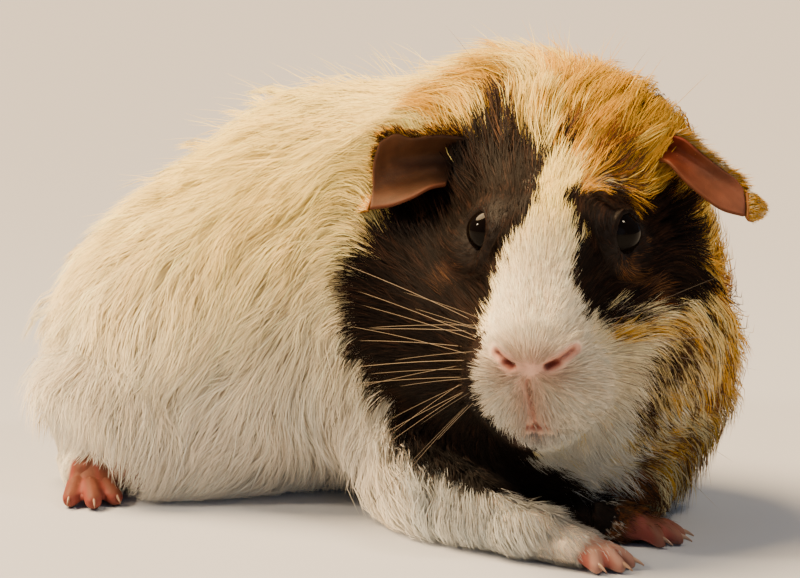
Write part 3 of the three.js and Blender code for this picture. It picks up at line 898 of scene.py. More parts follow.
def hair_length(points):
    """Length of the coat at each point."""
    head = in_head(points)
    from_brow = norms(head)
    ruff = smooth_step(head[:, 1], -40, -14) * smooth_step(from_brow, 85, 60)
    face = smooth_step(head[:, 1], -18, 2) * smooth_step(from_brow, 75, 60)
    length = mixed(LENGTH["body"], LENGTH["ruff"], ruff)
    length = mixed(length, LENGTH["face"], face)
    length = mixed(length, LENGTH["snout"], on_snout(points))
    length = mixed(length, LENGTH["crown"], near(head, (-6, -24, 28), 22))
    for side in SIDES:
        eye = norms(points - EYE_SEAT[side])
        length *= 0.30 + 0.70 * smooth_step(eye, EYE_RADIUS + 1, EYE_RADIUS + 13)
        length = mixed(length, LENGTH["forearm"], near(points, wrist_of(side) + (2, 10, 3), 26))
    length = mixed(length, LENGTH["chin"], 0.8 * near(head, (-10, 7, -56), 11))
    rump = smooth_step(points[:, 1], 58, 84) * smooth_step(points[:, 2], 64, 44)
    length = mixed(length, LENGTH["rump"], rump)
    length = mixed(length, LENGTH["feet"], smooth_step(on_feet(points), 0.1, 0.9))
    return length * (0.55 + 0.45 * smooth_step(points[:, 2], 2, 16))


class Skin:
    """The skin as arrays for laying hair: its triangles, normals, unwrap and nearest places."""

    def __init__(self, piece):
        mesh = piece.data
        mesh.calc_loop_triangles()
        self.places, self.normals = places_of(piece), normals_of(piece)
        self.triangles = rows_of(mesh.loop_triangles, "vertices", 3, np.int32)
        unwrap = rows_of(mesh.uv_layers["unwrap"].data, "uv", 2)
        self.unwrap = unwrap[rows_of(mesh.loop_triangles, "loops", 3, np.int32)]
        a, b, c = (self.places[self.triangles[:, i]] for i in range(3))
        self.areas = norms(np.cross(b - a, c - a)) / 2
        self.middles = (a + b + c) / 3
        self.tree = BVHTree.FromPolygons(self.places.tolist(), self.triangles.tolist())

    def scatter(self, count, share, random):
        """So many places on the skin, closer together where share(middles) is larger."""
        weight = np.cumsum(self.areas * share(self.middles))
        steps = (np.arange(count) + random.random(count)) / count * weight[-1]
        chosen = np.minimum(np.searchsorted(weight, steps), len(weight) - 1)
        mix = random.random((count, 2))
        mix = np.where(mix.sum(1, keepdims=True) > 1, 1 - mix, mix)
        mix = np.concatenate([1 - mix.sum(1, keepdims=True), mix], axis=1)[:, :, None]
        corners = self.triangles[chosen]
        roots = (self.places[corners] * mix).sum(1)
        normals = unit((self.normals[corners] * mix).sum(1))
        return roots, normals, (self.unwrap[chosen] * mix).sum(1)

    def nearest(self, points):
        """The nearest places on the skin, and the ways it faces there."""
        found = [self.tree.find_nearest(point)[:2] for point in points.tolist()]
        return np.array([place for place, _ in found]), np.array([normal for _, normal in found])


def clump(roots, every, random):
    """For each hair, the number of the hair that its lock gathers round."""
    leaders = random.choice(len(roots), max(1, len(roots) // every), replace=False)
    leaders = np.sort(leaders)
    tree = KDTree(len(leaders))
    for number, place in zip(leaders.tolist(), roots[leaders].tolist()):
        tree.insert(place, number)
    tree.balance()
    return np.array([tree.find(place)[1] for place in roots.tolist()])


def standing_out(roots, chance):
    """Which locks stand out of the coat: along the back, the rump and the crown."""
    back = smooth_step(roots[:, 2], 70, 95) * smooth_step(roots[:, 1], 5, 30)
    rump = smooth_step(roots[:, 1], 62, 90) * smooth_step(roots[:, 2], 20, 45)
    crown = near(in_head(roots), (0, -26, 32), 22)
    most = np.maximum(np.maximum(back, rump), crown)
    return np.clip(most * smooth_step(chance, 0.4, 1.7), 0, 1)


def fullness(roots):
    """How much higher the coat rises over the crown, the end of the back and the left cheek."""
    head = in_head(roots)
    back = smooth_step(roots[:, 1], 20, 50) * smooth_step(roots[:, 2], 58, 80)
    return (3.4 * near(head, (-10, -24, 32), 17) + 1.4 * back
            + 2.6 * near(head, (-45, -24, -25), 20))


def draw_in(spine):
    """Draws in the hairs that reach too far out on the left."""
    spine[:, :, 0] -= DRAWN_IN * np.maximum(spine[:, :, 0] - LEFT_REACH, 0)


def grow(skin, roots, normals, kind, random):
    """Lays hairs over the skin from their roots: each a row of places from root to tip, gathered
    into locks. Gives with them each hair's lock, its length and where on the coat it shows."""
    count, steps = len(roots), kind["steps"]
    leader = clump(roots, kind["lock"], random)
    lock = random.normal(size=(count, 4))[leader]
    each = random.normal(size=(count, 4))
    length = hair_length(roots) * (1 + 0.12 * lock[:, 0] + 0.10 * each[:, 0]).clip(0.5, 1.4)
    long_share = smooth_step(length, 5, 16)
    height = (coat_depth(roots) + 0.35 + 0.9 * on_feet(roots)) * kind["stand"]
    height *= (1 + 0.16 * lock[:, 1] + 0.14 * each[:, 1]).clip(0.35, 1.6)
    standing = standing_out(roots, lock[:, 2])
    height += standing * length * 0.26 + fullness(roots)
    # The coat lies flatter on the nape, and low on the sides the long hair hangs off the skin.
    height *= 1 - 0.45 * near(roots, (2, -14, 112), 16)
    hanging = smooth_step(roots[:, 2], 42, 14) * smooth_step(roots[:, 1], 80, 50) * long_share
    cling = (1 - 0.75 * hanging)[:, None]
    spine = [roots - normals * 0.5]
    here, facing, under = roots, normals, []
    for step in range(1, steps + 1):
        share = step / steps
        way = lie(here, facing)
        sideways = np.cross(facing, way)
        turn = 0.16 * lock[:, 3] + (0.10 + 0.10 * share) * each[:, 3]
        way = unit(way + sideways * (turn * (0.35 + 0.65 * long_share))[:, None])
        stride = way * (length / steps * (1 - 0.45 * standing))[:, None]
        found, normal = skin.nearest(here + stride)
        lift = (height * (1 - (1 - share) ** 1.7))[:, None]
        free = spine[-1] + stride + facing * (lift * 0.25 / steps)
        spine.append(mixed(free, found + normal * lift, cling))
        here, facing = found, unit(normal)
        under.append(here + facing * coat_depth(here)[:, None])
    spine = np.stack(spine, axis=1)
    # Each hair is drawn to its lock's leader, most at the tip.
    pull = np.clip(kind["gather"] + 0.5 * standing, 0, 0.85) * long_share
    for step in range(1, steps + 1):
        share = (step / steps) ** 1.3 * pull
        spine[:, step] += (spine[leader, step] - spine[:, step]) * share[:, None]
    spine[:, -1] += random.normal(size=(count, 3)) * (0.02 * length)[:, None]
    floor_gap = FLOOR_GAP + 0.5 * random.random(count)
    spine[:, :, 2] = np.maximum(spine[:, :, 2], floor_gap[:, None])
    draw_in(spine)
    return spine, leader, length, np.mean(under[:steps - 1], axis=0)


def tuft_faces(rings):
    """The triangles of a closed tuft: a root, rings of three corners and a tip."""
    last, tip = 3 * rings - 2, 3 * rings + 1
    faces = [(0, 1 + (turn + 1) % 3, 1 + turn) for turn in range(3)]
    for ring in range(rings - 1):
        for turn in range(3):
            a, b = 1 + 3 * ring + turn, 1 + 3 * ring + (turn + 1) % 3
            faces += [(a, b, b + 3), (a, b + 3, a + 3)]
    return np.array(faces + [(last + turn, last + (turn + 1) % 3, tip) for turn in range(3)])


def hair_mesh(name, spine, width, colours, unwrap, facing, random):
    """Closed three-sided tufts along rows of places, each with a patch of the unwrap at its root
    and shaded mostly as the skin under it."""
    count, rings = len(spine), spine.shape[1] - 2
    per = 2 + 3 * rings
    way = unit(spine[:, 2:] - spine[:, :-2])
    side = unit(np.cross(way, random.normal(size=(count, 1, 3)) * 0.35 + (0.13, 0.21, 1.0)))
    other = np.cross(way, side)
    profile = 1.0 - HAIR_TAPER * (np.arange(rings) / max(rings, 2)) ** 1.5
    corners = np.empty((count, per, 3))
    corners[:, 0], corners[:, -1] = spine[:, 0], spine[:, -1]
    for ring in range(rings):
        for turn in range(3):
            angle = 2 * math.pi * turn / 3
            arm = (side[:, ring] * math.cos(angle)
                   + other[:, ring] * math.sin(angle) * HAIR_FLATNESS)
            corners[:, 1 + 3 * ring + turn] = (
                spine[:, ring + 1] + arm * (width * profile[ring] / 2)[:, None])
    faces = tuft_faces(rings)
    indices = (faces[None] + (np.arange(count) * per)[:, None, None]).reshape(-1)
    mesh = bpy.data.meshes.new(name)
    mesh.vertices.add(count * per)
    mesh.vertices.foreach_set("co", (corners * MM).astype(np.float32).ravel())
    mesh.loops.add(len(indices))
    mesh.loops.foreach_set("vertex_index", indices.astype(np.int32))
    mesh.polygons.add(len(indices) // 3)
    mesh.polygons.foreach_set("loop_start", np.arange(0, len(indices), 3, dtype=np.int32))
    mesh.polygons.foreach_set("use_smooth", np.ones(len(indices) // 3, bool))
    along = np.concatenate([[0], np.repeat(np.arange(1, rings + 1) / (rings + 1), 3), [1]])
    across = np.concatenate([[0.5], np.tile([0.1, 0.5, 0.9], rings), [0.5]])
    patch = np.stack([along - 0.5, across - 0.5], axis=1) * PATCH
    uv = (unwrap[:, None] + patch[None])[:, faces.reshape(-1)].reshape(-1, 2)
    mesh.uv_layers.new(name="OFBake").data.foreach_set("uv", uv.astype(np.float32).ravel())
    piece = bpy.data.objects.new(name, mesh)
    bpy.context.scene.collection.objects.link(piece)
    # Painted shade: each hair darkens towards its root.
    root_shade = mixed(ROOT_LIGHT, 1, along) ** 0.8
    store_tint(piece, (colours[:, None] * root_shade[None, :, None]).reshape(-1, 3))
    mesh.update()
    mesh.validate()
    centre = np.concatenate(
        [spine[:, :1], np.repeat(spine[:, 1:-1], 3, axis=1), spine[:, -1:]], axis=1)
    own = unit(corners - centre)
    own[:, 0] = own[:, -1] = facing
    shaded = unit(mixed(own, facing[:, None], COAT_SOFTNESS))
    mesh.normals_split_custom_set_from_vertices(shaded.reshape(-1, 3).tolist())
    return piece


def clear_of_eyes(spine):
    """Whether each hair keeps out of the opening of both eyes."""
    keep = np.ones(len(spine), bool)
    along = np.concatenate([spine, (spine[:, 1:] + spine[:, :-1]) / 2], axis=1)
    for side in SIDES:
        look = eye_look(side)
        arm = along - EYE_SEAT[side]
        depth = arm @ look
        aside = norms(arm - depth[:, :, None] * look)
        keep &= ~((aside < EYE_RADIUS * math.sin(LID_OPEN)) & (depth > 0)).any(1)
    return keep


def clear_of_nose(spine):
    """Whether each hair keeps off the nostrils, the lips' parting and the line under the nose."""
    head = in_head(spine.reshape(-1, 3))
    plan = head[:, (0, 2)]
    open_skin = groove(plan, *PHILTRUM, 0.4) > 0.6
    for side in SIDES:
        open_skin |= groove(plan, *NOSTRILS[side], 1.0) > 0.5
        open_skin |= groove(plan, MOUTH_MIDDLE, MOUTH_PARTED[side], 0.5) > 0.6
    return ~(open_skin & (head[:, 1] > 12)).reshape(spine.shape[:2])[:, 1:].any(1)


def clear_of_ears(spine):
    """Whether each hair keeps behind both ears and off their hollow side, but for the hair at
    their roots."""
    along, across = 24, 20
    keep = np.ones(len(spine), bool)
    for side in SIDES:
        sheet = sheet_through(EARS[side], along, across).reshape(-1, 3)
        share = np.repeat(np.linspace(0, 1, along), across)
        points = in_head(spine.reshape(-1, 3))
        near_by = np.nonzero(norms(points - sheet.mean(0)) < 24)[0]
        gaps = norms(points[near_by, None][:, :, (0, 2)] - sheet[None][:, :, (0, 2)])
        closest = gaps.argmin(1)
        in_front = points[near_by, 1] > sheet[closest, 1] - EAR_BEHIND
        hit = (gaps.min(1) < EAR_CLEAR) & in_front & (share[closest] > EAR_ROOT)
        struck = np.zeros(len(points), bool)
        struck[near_by[hit]] = True
        keep &= ~struck.reshape(spine.shape[:2]).any(1)
    return keep


def tint_hairs(middles, leader, random):
    """One tint for each hair, by where on the coat it shows, with painted light and shade by height
    and on the lower face, and small differences between locks and between hairs."""
    numbers = tint_numbers(middles, random)
    with_lock = random.random(len(middles)) < WITH_LOCK
    numbers = np.where(with_lock, numbers[leader], numbers)
    colours = mixed(COAT_TINTS[numbers], BARE_PINK, rosiness(middles))
    hand = HAND_SHOWS * near(middles, wrist_of("right") + (0, -13, 0), 14)
    colours = mixed(colours, PALM_PINK, hand[:, None])
    # Partly the coat's cream, partly painted warm light from above: creamier higher up.
    cream_and_warm_light = smooth_step(middles[:, 2], 15, 95) * (1 - 0.7 * on_snout(middles))
    cream_and_warm_light *= np.isin(numbers, (WHITE, CREAM))
    # Painted against the strong light on the crown's top: its ginger darker and more golden there.
    golden_against_top_light = smooth_step(middles[:, 2], 98, 114) * (numbers == GINGER)
    head = in_head(middles)
    # Painted shade on the lower face.
    low_face_shade = (smooth_step(head[:, 1], -14, 18) * smooth_step(head[:, 2], -14, -36)
                * smooth_step(norms(head), 95, 70))
    # Painted shade of the head over the hair low in front, on the forelegs.
    shade_below = smooth_step(middles[:, 2], 46, 26) * smooth_step(middles[:, 1], -14, -34)
    for share, taken in ((cream_and_warm_light, CREAM_AND_WARM_LIGHT), (golden_against_top_light, GOLDEN_AGAINST_TOP_LIGHT), (low_face_shade, LOW_FACE_SHADE),
                         (shade_below, SHADE_BELOW)):
        colours = colours * (1 - share[:, None] * taken)
    lock = random.normal(size=len(middles))[leader]
    each = random.normal(size=len(middles))
    warm = 0.03 * random.normal(size=len(middles))[leader]
    shade = np.exp(0.07 * lock + 0.09 * each)[:, None]
    return colours * shade * np.stack([1 + warm, np.ones_like(warm), 1 - warm], axis=1)


def short_hair_share(points):
    """Where the short hair grows: closer on the muzzle and not on bare skin."""
    return (smooth_step(hair_length(points), 12, 9) * (1 + 1.2 * on_snout(points))
            * (1 - smooth_step(bareness(points), 0.15, 0.7)))


def long_hair_share(points):
    """Where the long hair grows: closer on the head and thinner under the belly."""
    on_head = smooth_step(norms(in_head(points)), 70, 45)
    return (smooth_step(hair_length(points), 9, 12) * (1 + 1.2 * on_head)
            * (0.35 + 0.65 * smooth_step(points[:, 2], 1, 9)))


def guard_hair_share(points):
    """Where guard hairs grow: on the crown and along the back."""
    crown = near(in_head(points), (0, -32, 40), 15)
    back = smooth_step(points[:, 2], 66, 96) * smooth_step(points[:, 1], -30, 0)
    return np.maximum(crown * 2.2, back)


def build_coat(skin_piece):
    """All the coat: short hairs on the face and feet, long ones on the rest, in pieces of even
    size, and the guard hairs."""
    random = np.random.default_rng(7)
    skin = Skin(skin_piece)
    pieces = []
    for name, share in (("face", short_hair_share), ("body", long_hair_share)):
        kind = COAT_KINDS[name]
        roots, normals, unwrap = skin.scatter(int(kind["count"] * COAT_SHARE), share, random)
        spine, leader, length, shown = grow(skin, roots, normals, kind, random)
        colours = tint_hairs(shown, leader, random)
        width = kind["width"] / math.sqrt(COAT_SHARE) * np.clip(length / 4, 0.6, 1)
        width = width * (1 + 0.15 * random.normal(size=len(roots))).clip(0.6, 1.5)
        keep = np.nonzero(clear_of_eyes(spine) & clear_of_ears(spine) & clear_of_nose(spine))[0]
        triangles = len(tuft_faces(kind["steps"] - 1))
        parts = math.ceil(len(keep) * triangles / MOST_TRIANGLES)
        order = keep[np.argsort(roots[keep, 1])]
        for number, chosen in enumerate(np.array_split(order, parts), 1):
            pieces.append(hair_mesh(f"coat_{name}_{number}", spine[chosen], width[chosen],
                                    colours[chosen], unwrap[chosen], normals[chosen], random))
    pieces.append(build_guard_hairs(skin, random))
    return pieces


def curved(roots, way, bend, length, count):
    """Hairs of so many places that leave their roots along a way and bend off it."""
    steps = np.linspace(0, 1, count)
    reach = steps[None, :, None] * length[:, None, None]
    return roots[:, None] + way[:, None] * reach + bend[:, None] * reach * steps[None, :, None]


def build_guard_hairs(skin, random):
    """The few long hairs that stand away from the coat along the back and the crown."""
    roots, normals, unwrap = skin.scatter(GUARD_HAIRS, guard_hair_share, random)
    length = mixed(*GUARD_LENGTH, random.random(GUARD_HAIRS)) + coat_depth(roots)
    along = lie(roots, normals)
    way = unit(along * 0.8 + normals * random.uniform(0.5, 1.3, (GUARD_HAIRS, 1))
               + random.normal(size=(GUARD_HAIRS, 3)) * 0.22)
    sag = (along * 0.35 + (0, 0, -0.18)) * 0.5
    spine = curved(roots - normals * 0.5, way, sag, length, 5)
    over = np.maximum(spine[:, :, 2].max(1) - GUARD_TOP, 0)
    spine[:, :, 2] -= over[:, None] * np.linspace(0, 1, 5)[None]
    draw_in(spine)
    shown = roots + normals * coat_depth(roots)[:, None]
    colours = tint_hairs(shown, np.arange(GUARD_HAIRS), random)
    width = np.full(GUARD_HAIRS, GUARD_WIDTH)
    keep = clear_of_eyes(spine) & clear_of_ears(spine)
    return hair_mesh("coat_guard", spine[keep], width[keep], colours[keep], unwrap[keep],
                     normals[keep], random)


# ---------------------------------------------------------------- materials

def new_material(name):
    material = bpy.data.materials.new(name)
    material.use_nodes = True
    return material, material.node_tree, material.node_tree.nodes["Principled BSDF"].inputs


def add_node(tree, kind, settings=(), inputs=(), links=()):
    """Adds a node with its settings and values, fed by links of (input, node, output)."""
    made = tree.nodes.new(kind)
    for name, value in dict(settings).items():
        setattr(made, name, value)
    for name, value in dict(inputs).items():
        made.inputs[name].default_value = value
    for name, source, output in links:
        tree.links.new(source.outputs[output], made.inputs[name])
    return made


def hair_material():
    """Guinea pig hair: keratin with a soft sheen, each hair its own tint."""
    material, tree, shader = new_material("guinea_pig_hair")
    tint = add_node(tree, "ShaderNodeAttribute", {"attribute_name": "tint"})
    tree.links.new(tint.outputs["Color"], shader["Base Color"])
    shader["Roughness"].default_value = 0.55
    shader["IOR"].default_value = 1.55
    shader["Specular IOR Level"].default_value = 0.06
    return material


def skin_material():
    """Living skin: soft, slightly translucent and finely creased, the creases 0.7 mm apart."""
    material, tree, shader = new_material("living_skin")
    tint = add_node(tree, "ShaderNodeAttribute", {"attribute_name": "tint"})
    tree.links.new(tint.outputs["Color"], shader["Base Color"])
    place = add_node(tree, "ShaderNodeTexCoord")
    creases = add_node(tree, "ShaderNodeTexVoronoi", {"feature": "DISTANCE_TO_EDGE"},
                       {"Scale": 1500}, [("Vector", place, "Object")])
    bump = add_node(tree, "ShaderNodeBump", (), {"Strength": 0.25, "Distance": 0.0002},
                    [("Height", creases, "Distance")])
    tree.links.new(bump.outputs["Normal"], shader["Normal"])
    shader["Roughness"].default_value = 0.55
    shader["Specular IOR Level"].default_value = 0.12
    shader["Subsurface Weight"].default_value = 0.15
    shader["Subsurface Radius"].default_value = (0.0020, 0.0008, 0.0005)
    shader["Subsurface Scale"].default_value = 1.0
    return material


def eye_material():
    """A dark brown eye under a wet cornea: nearly black, with sharp highlights."""
    material, _, shader = new_material("wet_dark_eye")
    shader["Base Color"].default_value = linear("#0B0705")
    shader["Roughness"].default_value = 0.05
    shader["IOR"].default_value = 1.336
    shader["Specular IOR Level"].default_value = 0.12
    return material


def claw_material():
    """Horn: pale, slightly clear, smooth from wear."""
    material, _, shader = new_material("pale_horn_claw")
    shader["Base Color"].default_value = linear("#94755F")
    shader["Roughness"].default_value = 0.35
    shader["Subsurface Weight"].default_value = 0.2
    shader["Subsurface Radius"].default_value = (0.001, 0.0007, 0.0005)
    return material


def floor_material():
    """Matt paper: pale, without a shine."""
    material, _, shader = new_material("matt_studio_paper")
    shader["Base Color"].default_value = linear("#B6BBC4")
    shader["Roughness"].default_value = 0.85
    return material


def dress(piece, material):
    """Gives a piece its material and its place in the part."""
    piece.data.materials.clear()
    piece.data.materials.append(material)
    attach(piece, "root")


# ---------------------------------------------------------------- eyes

def build_eye(side):
    """A glossy ball with a slightly fuller cornea."""
    deselect()
    bpy.ops.mesh.primitive_uv_sphere_add(segments=64, ring_count=32, radius=EYE_RADIUS * MM)
    eye = bpy.context.object
    eye.name = eye.data.name = "eyeball_" + side
    places = places_of(eye)
    turn = np.arccos(np.clip(unit(places) @ eye_look(side), -1, 1))
    cornea = smooth_step(turn, math.radians(50), math.radians(10))
    put_places(eye, places * (1 + 0.05 * cornea)[:, None] + EYE_SEAT[side])
    bpy.ops.object.shade_smooth()
    return eye


# ---------------------------------------------------------------- ears

# Each ear as rows of places in the head's frame from its root to its outer margin, each row from
# the lower to the upper edge, and its lobe, the lower corner that folds back on itself.
EARS = {
    "right": [
        [(29.4, -13.0, 7.8), (28.9, -19.0, 10.9), (27.3, -21.0, 15.2), (23.8, -17.0, 19.8)],
        [(33.0, -10.0, 7.1), (34.2, -17.0, 10.0), (34.8, -19.0, 14.9), (31.8, -15.0, 20.5)],
        [(37.2, -8.5, 4.5), (39.6, -15.5, 8.5), (40.7, -17.5, 13.9), (38.8, -14.0, 19.4)],
        [(42.7, -8.0, 2.1), (44.2, -13.5, 7.1), (45.0, -15.5, 13.3), (42.8, -13.0, 20.3)],
        [(47.9, -8.0, 1.1), (48.1, -11.5, 5.8), (48.3, -12.5, 12.1), (46.9, -12.0, 18.1)],
    ],
    "left": [
        [(-22.5, -19.0, 16.5), (-23.0, -21.0, 18.4), (-24.0, -22.0, 20.8), (-25.6, -20.5, 23.6)],
        [(-26.4, -13.0, 16.9), (-27.0, -18.0, 18.2), (-28.3, -20.0, 20.2), (-29.8, -18.0, 22.7)],
        [(-30.7, -11.0, 13.0), (-31.8, -16.0, 15.1), (-33.1, -18.5, 17.5), (-34.0, -17.0, 19.7)],
        [(-35.5, -10.0, 9.4), (-36.6, -14.5, 11.5), (-37.8, -17.5, 13.8), (-39.2, -17.0, 16.2)],
        [(-40.6, -9.5, 6.3), (-41.8, -13.0, 8.7), (-42.8, -16.0, 11.0), (-43.4, -16.5, 13.5)],
        [(-46.3, -11.0, 4.9), (-46.3, -12.5, 6.5), (-46.0, -14.5, 8.6), (-45.3, -16.0, 10.9)],
    ],
}
LOBES = {
    "right": [
        [(47.9, -13.5, 4.1), (48.1, -10.5, 2.3), (48.4, -8.5, 0.7)],
        [(50.7, -14.5, 3.3), (50.5, -12.5, 1.5), (49.7, -10.0, 0.0)],
        [(52.4, -15.5, 1.8), (51.9, -14.0, 0.7), (50.6, -12.0, -0.6)],
    ],
    "left": [
        [(-45.8, -16.0, 10.4), (-46.3, -14.0, 7.6), (-46.6, -11.0, 4.7)],
        [(-47.5, -18.0, 9.8), (-48.5, -16.0, 7.1), (-47.6, -13.0, 3.3)],
        [(-49.6, -20.0, 8.0), (-50.7, -19.0, 6.1), (-49.2, -17.0, 3.7)],
    ],
}
EAR_THICK = 1.0
# Bare ear skin from the root to the margin: dark and liver-coloured on the right, redder on the
# left, each with a brown lower rim. The left ear's red towards its root is partly its skin and
# partly a painted glow of the light shining through it from behind.
EAR_TINTS = {
    "right": [rgb("#1C1009"), rgb("#4A2E1C"), rgb("#50321F")],
    "left": [rgb("#621E0C"), rgb("#553021"), rgb("#60392A")],
}
EAR_RIM = rgb("#5A3320")
LOBE_TINTS = [rgb("#8A5A2C")] * 2
EAR_HAIR_TINTS = {"right": {BROWN: 0.35, SABLE: 0.40, GINGER: 0.25},
                  "left": {GINGER: 0.66, CREAM: 0.30, RUST: 0.04}}
EAR_HAIRS = 3400
EAR_HAIR_WIDTH = 0.20
LOBE_HAIRS = 900
LOBE_HAIR_WIDTH = 0.18
LOBE_GRID = 14
# Where the ear and lobe hair's patches start on their unwrap, and how far they spread.
EAR_PATCHES = {"right": (0.1, 0.2), "left": (0.4, 0.2)}
LOBE_PATCHES = {"right": (0.7, 0.1), "left": (0.8, 0.1)}


def run_through(rows, count):
    """Smooth places between rows of places, passing through each."""
    rows = np.asarray(rows, float)
    ends = np.concatenate([2 * rows[:1] - rows[1:2], rows, 2 * rows[-1:] - rows[-2:-1]])
    at = np.linspace(0, len(rows) - 1, count)
    first = np.minimum(at.astype(int), len(rows) - 2)
    t = (at - first).reshape((-1,) + (1,) * (rows.ndim - 1))
    a, b, c, d = (ends[first + i] for i in range(4))
    return b + 0.5 * t * (c - a + t * (2 * a - 5 * b + 4 * c - d + t * (3 * (b - c) + d - a)))


def sheet_through(rows, along, across):
    """A grid of places through rows of places, so many along them and across."""
    columns = np.swapaxes(run_through(rows, along), 0, 1)
    return np.swapaxes(run_through(columns, across), 0, 1)


def on_sheet(grid, i, j):
    """Places between a grid's rows and columns, and the grid's ways outward and across there."""
    row, column = i.astype(int), j.astype(int)
    down, right = (i - row)[:, None], (j - column)[:, None]
    here, out, over = grid[row, column], grid[row + 1, column], grid[row, column + 1]
    places = mixed(mixed(here, out, down), mixed(over, grid[row + 1, column + 1], down), right)
    return places, unit(out - here), unit(over - here)


def ear_sheet(name, grid, tints):
    """A thin closed sheet through a grid of places, coloured from its root to its margin."""
    along, across = grid.shape[:2]
    deselect()
    bpy.ops.mesh.primitive_grid_add(x_subdivisions=across - 1, y_subdivisions=along - 1, size=1)
    sheet = bpy.context.object
    sheet.name = sheet.data.name = name
    flat = places_of(sheet) * MM
    column = np.round((flat[:, 0] + 0.5) * (across - 1)).astype(int)
    row = np.round((flat[:, 1] + 0.5) * (along - 1)).astype(int)
    put_places(sheet, from_head(grid[row, column]))
    steps = np.linspace(0, 1, len(tints))
    colours = np.stack([np.interp(row / (along - 1), steps, channel)
                        for channel in np.transpose(tints)], axis=1)
    points = places_of(sheet)
    mottle = 1 + 0.14 * ripple(points, 7, 31) + 0.10 * ripple(points, 2.6, 32)
    rim = smooth_step(column / (across - 1), 0.07, 0.0)
    store_tint(sheet, mixed(colours * mottle[:, None], EAR_RIM, rim[:, None]))
    apply(sheet, "SOLIDIFY", thickness=EAR_THICK * MM, offset=0.0, use_even_offset=True)
    apply(sheet, "SUBSURF", levels=1, render_levels=1)
    bpy.ops.object.shade_smooth()
    return sheet


def build_ear(side, grid):
    """A petal of thin skin with its lower corner folded back."""
    petal = ear_sheet("ear_skin_" + side, grid, EAR_TINTS[side])
    fold = sheet_through(LOBES[side], 12, 12)
    return joined([petal, ear_sheet("ear_lobe_" + side, fold, LOBE_TINTS)], "ear_skin_" + side)


def ear_tufts(name, places, colours, unwrap, width, facing, random):
    """Short tufts of an ear, from rows of places in the head's frame."""
    spine = from_head(np.stack(places, axis=1))
    width = np.full(len(spine), width / math.sqrt(EAR_SHARE))
    return hair_mesh(name, spine, width, colours, unwrap, head_way(unit(facing)), random)


def build_ear_hair(side, grid, random):
    """Short hair on the ear's back, longest along its upper edge and at its root."""
    along, across = grid.shape[:2]
    count = int(EAR_HAIRS * EAR_SHARE)
    down = np.abs(random.normal(size=count) * 0.30).clip(0, 0.95)
    u, v = random.random(count) ** 0.9 * 0.93, 1 - down
    places, out, up = on_sheet(grid, u * (along - 1.001), v * (across - 1.001))
    back = unit(np.cross(out, up))
    back *= np.where(back[:, 1:2] < 0, 1, -1)
    length = 2.6 + 0.6 * (v > 0.93) + 1.6 * smooth_step(u, 0.5, 0.0)
    length = (length * (1 + 0.25 * random.normal(size=count)).clip(0.5, 1.8))[:, None]
    way = unit(out + up * (0.20 + 0.55 * (v > 0.9))[:, None] + back * 0.25
               + random.normal(size=(count, 3)) * 0.16)
    root = places + back * EAR_THICK * 0.4
    colours = COAT_TINTS[pick_tints(EAR_HAIR_TINTS[side], random.random(count) * 0.999)]
    colours = colours * np.exp(0.12 * random.normal(size=count))[:, None]
    start, spread = EAR_PATCHES[side]
    unwrap = np.stack([u, v], axis=1) * spread + start
    spine = root, root + way * length * 0.5 + back * 0.4, root + way * length + back * 0.3
    return ear_tufts("coat_ear_" + side, spine, colours, unwrap, EAR_HAIR_WIDTH,
                     up + back * 0.35 - out * 0.1, random)


def build_lobe_hair(side, random):
    """Short golden hair all over the lobe's front."""
    grid = sheet_through(LOBES[side], LOBE_GRID, LOBE_GRID)
    count = int(LOBE_HAIRS * EAR_SHARE)
    edge = LOBE_GRID - 1.1
    i, j = random.random(count) * edge, random.random(count) * edge
    root, out, across = on_sheet(grid, i, j)
    front = unit(np.cross(out, across))
    front *= np.where(front[:, 1:2] > 0, 1, -1)
    way = unit(out + front * 0.3 + random.normal(size=(count, 3)) * 0.2)
    length = random.uniform(1.0, 2.2, count)[:, None]
    colours = COAT_TINTS[np.where(random.random(count) < 0.7, GINGER, CREAM)]
    colours = colours * random.uniform(0.6, 1.0, (count, 1))
    start, spread = LOBE_PATCHES[side]
    unwrap = np.stack([i, j], axis=1) / LOBE_GRID * spread + start
    spine = root, root + way * length * 0.5 + front * 0.5, root + way * length + front * 0.45
    return ear_tufts("coat_lobe_" + side, spine, colours, unwrap, LOBE_HAIR_WIDTH,
                     front + (0, 0, 0.6), random)


# ---------------------------------------------------------------- whiskers

# Each row of whiskers: how far up it stands in the head's frame, and how it rises.
WHISKER_ROWS = ((-20.0, 0.16), (-24.0, 0.02), (-29.0, -0.12), (-33.0, -0.45), (-37.0, -0.85),
                (-40.0, -1.2))
WHISKERS_IN_ROW = 4
# The first whisker of a row, outward and forward in the head's frame, and the step to the next.
WHISKER_FIRST = (12.5, 25)
WHISKER_STEP = (2.2, -4.2)
WHISKER_LENGTH = {"first": (14, 26), "rest": (24, 40)}
WHISKER_WIDTH = 0.18
WHISKER_TINT = rgb("#9C8C76")


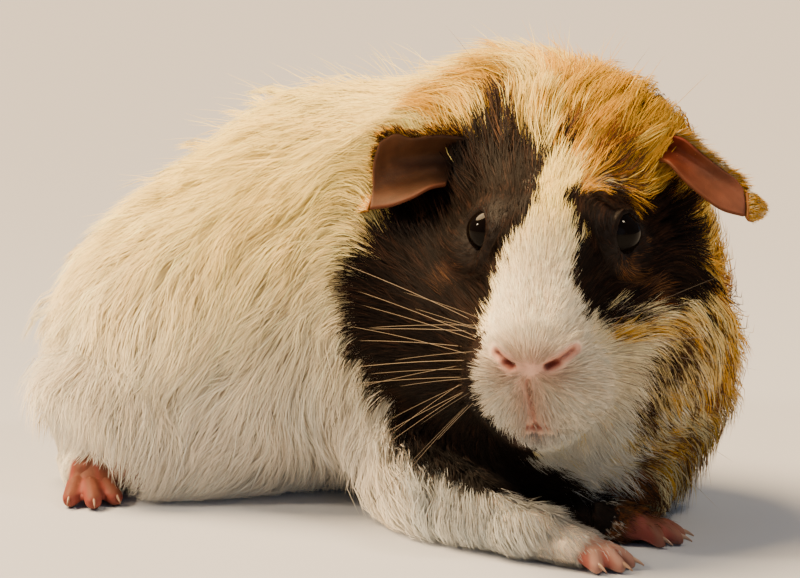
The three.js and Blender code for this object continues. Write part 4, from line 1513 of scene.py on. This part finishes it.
def build_whiskers(skin, random):
    """Long tapering whiskers in rows on both pads of the muzzle, swept back along the cheeks."""
    starts, ways, lengths = [], [], []
    for sign in SIGN.values():
        for up, rise in WHISKER_ROWS:
            for number in range(WHISKERS_IN_ROW):
                outward, forward = np.add(WHISKER_FIRST, np.multiply(WHISKER_STEP, number))
                starts.append((sign * outward, forward, up + random.normal() * 1.2))
                ways.append((sign, -0.62 + 0.14 * number + 0.12 * random.normal(),
                             rise + 0.22 * random.normal()))
                lengths.append(random.uniform(*WHISKER_LENGTH["rest" if number else "first"]))
    roots, normals = skin.nearest(from_head(starts))
    ways = unit(unit(head_way(ways)) + normals * 0.42)
    sideways = unit(np.cross(ways, (0, 0, -1.0)) + 1e-6)
    bend = head_way((0, -0.5, -0.35)) + sideways * random.normal(size=(len(roots), 1)) * 0.3
    spine = curved(roots - normals * 0.6, ways, bend * 0.2, np.array(lengths), 11)
    spine[:, :, 2] = np.maximum(spine[:, :, 2], 0.6)
    colours = WHISKER_TINT * random.uniform(0.45, 1.0, (len(roots), 1))
    width = WHISKER_WIDTH * random.uniform(0.75, 1.15, len(roots))
    unwrap = np.full((len(roots), 2), 0.5)
    return hair_mesh("whiskers", spine, width, colours, unwrap, normals, random)


# ---------------------------------------------------------------- claws

CLAW_RADIUS = 0.95
CLAW_TIP_RADIUS = 0.18
# How far a claw's root is sunk in its digit, and how much of its solid's length it keeps.
CLAW_SUNK = 1.2
CLAW_KEPT = 0.64


def build_claws(kind):
    """Short curved claws, each a cone drawn down to its point."""
    made = []
    for _, root, point in claws_of(kind):
        deselect()
        bpy.ops.mesh.primitive_cone_add(vertices=18, radius1=CLAW_RADIUS * MM,
                                        radius2=CLAW_TIP_RADIUS * MM, depth=1 * MM)
        claw = bpy.context.object
        edit_whole(claw, bpy.ops.mesh.subdivide, number_cuts=5)
        shape = places_of(claw)
        along = shape[:, 2] + 0.5
        axis = unit(point - root)
        side = unit(np.cross(axis, (0, 0, 1)))
        rise = np.cross(side, axis)
        length = CLAW_SUNK + CLAW_KEPT * norms(point - root)
        arch = np.sin(along * math.pi) * 0.5
        put_places(claw, root - axis * CLAW_SUNK + axis * (along * length)[:, None]
                   + side * (shape[:, :1] * 0.75) + rise * (shape[:, 1:2] + arch[:, None]))
        bpy.ops.object.shade_smooth()
        made.append(claw)
    return joined(made, kind.replace("claw", "claws"))


# ---------------------------------------------------------------- the whole

add_camera()
add_lights()
add_floor()
body_skin = build_skin()
paint_skin(body_skin)
hair = hair_material()
for piece in build_coat(body_skin):
    dress(piece, hair)
draws = np.random.default_rng(19)
dress(build_whiskers(Skin(body_skin), draws), hair)
ears = []
for side in SIDES:
    grid = sheet_through(EARS[side], 30, 26)
    ears.append(build_ear(side, grid))
    dress(build_ear_hair(side, grid, draws), hair)
    dress(build_lobe_hair(side, draws), hair)
skin = joined([body_skin] + ears, "skin")
dress(skin, skin_material())
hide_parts(*FLESH, *("ear_" + side for side in SIDES))
wet_eye, horn = eye_material(), claw_material()
for side in SIDES:
    eye = build_eye(side)
    dress(eye, wet_eye)
    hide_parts("eye_" + side)
    for kind in ("fore_claw_" + side, "hind_claw_" + side):
        claws = build_claws(kind)
        dress(claws, horn)
        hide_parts(*(name for name, _, _ in claws_of(kind)))
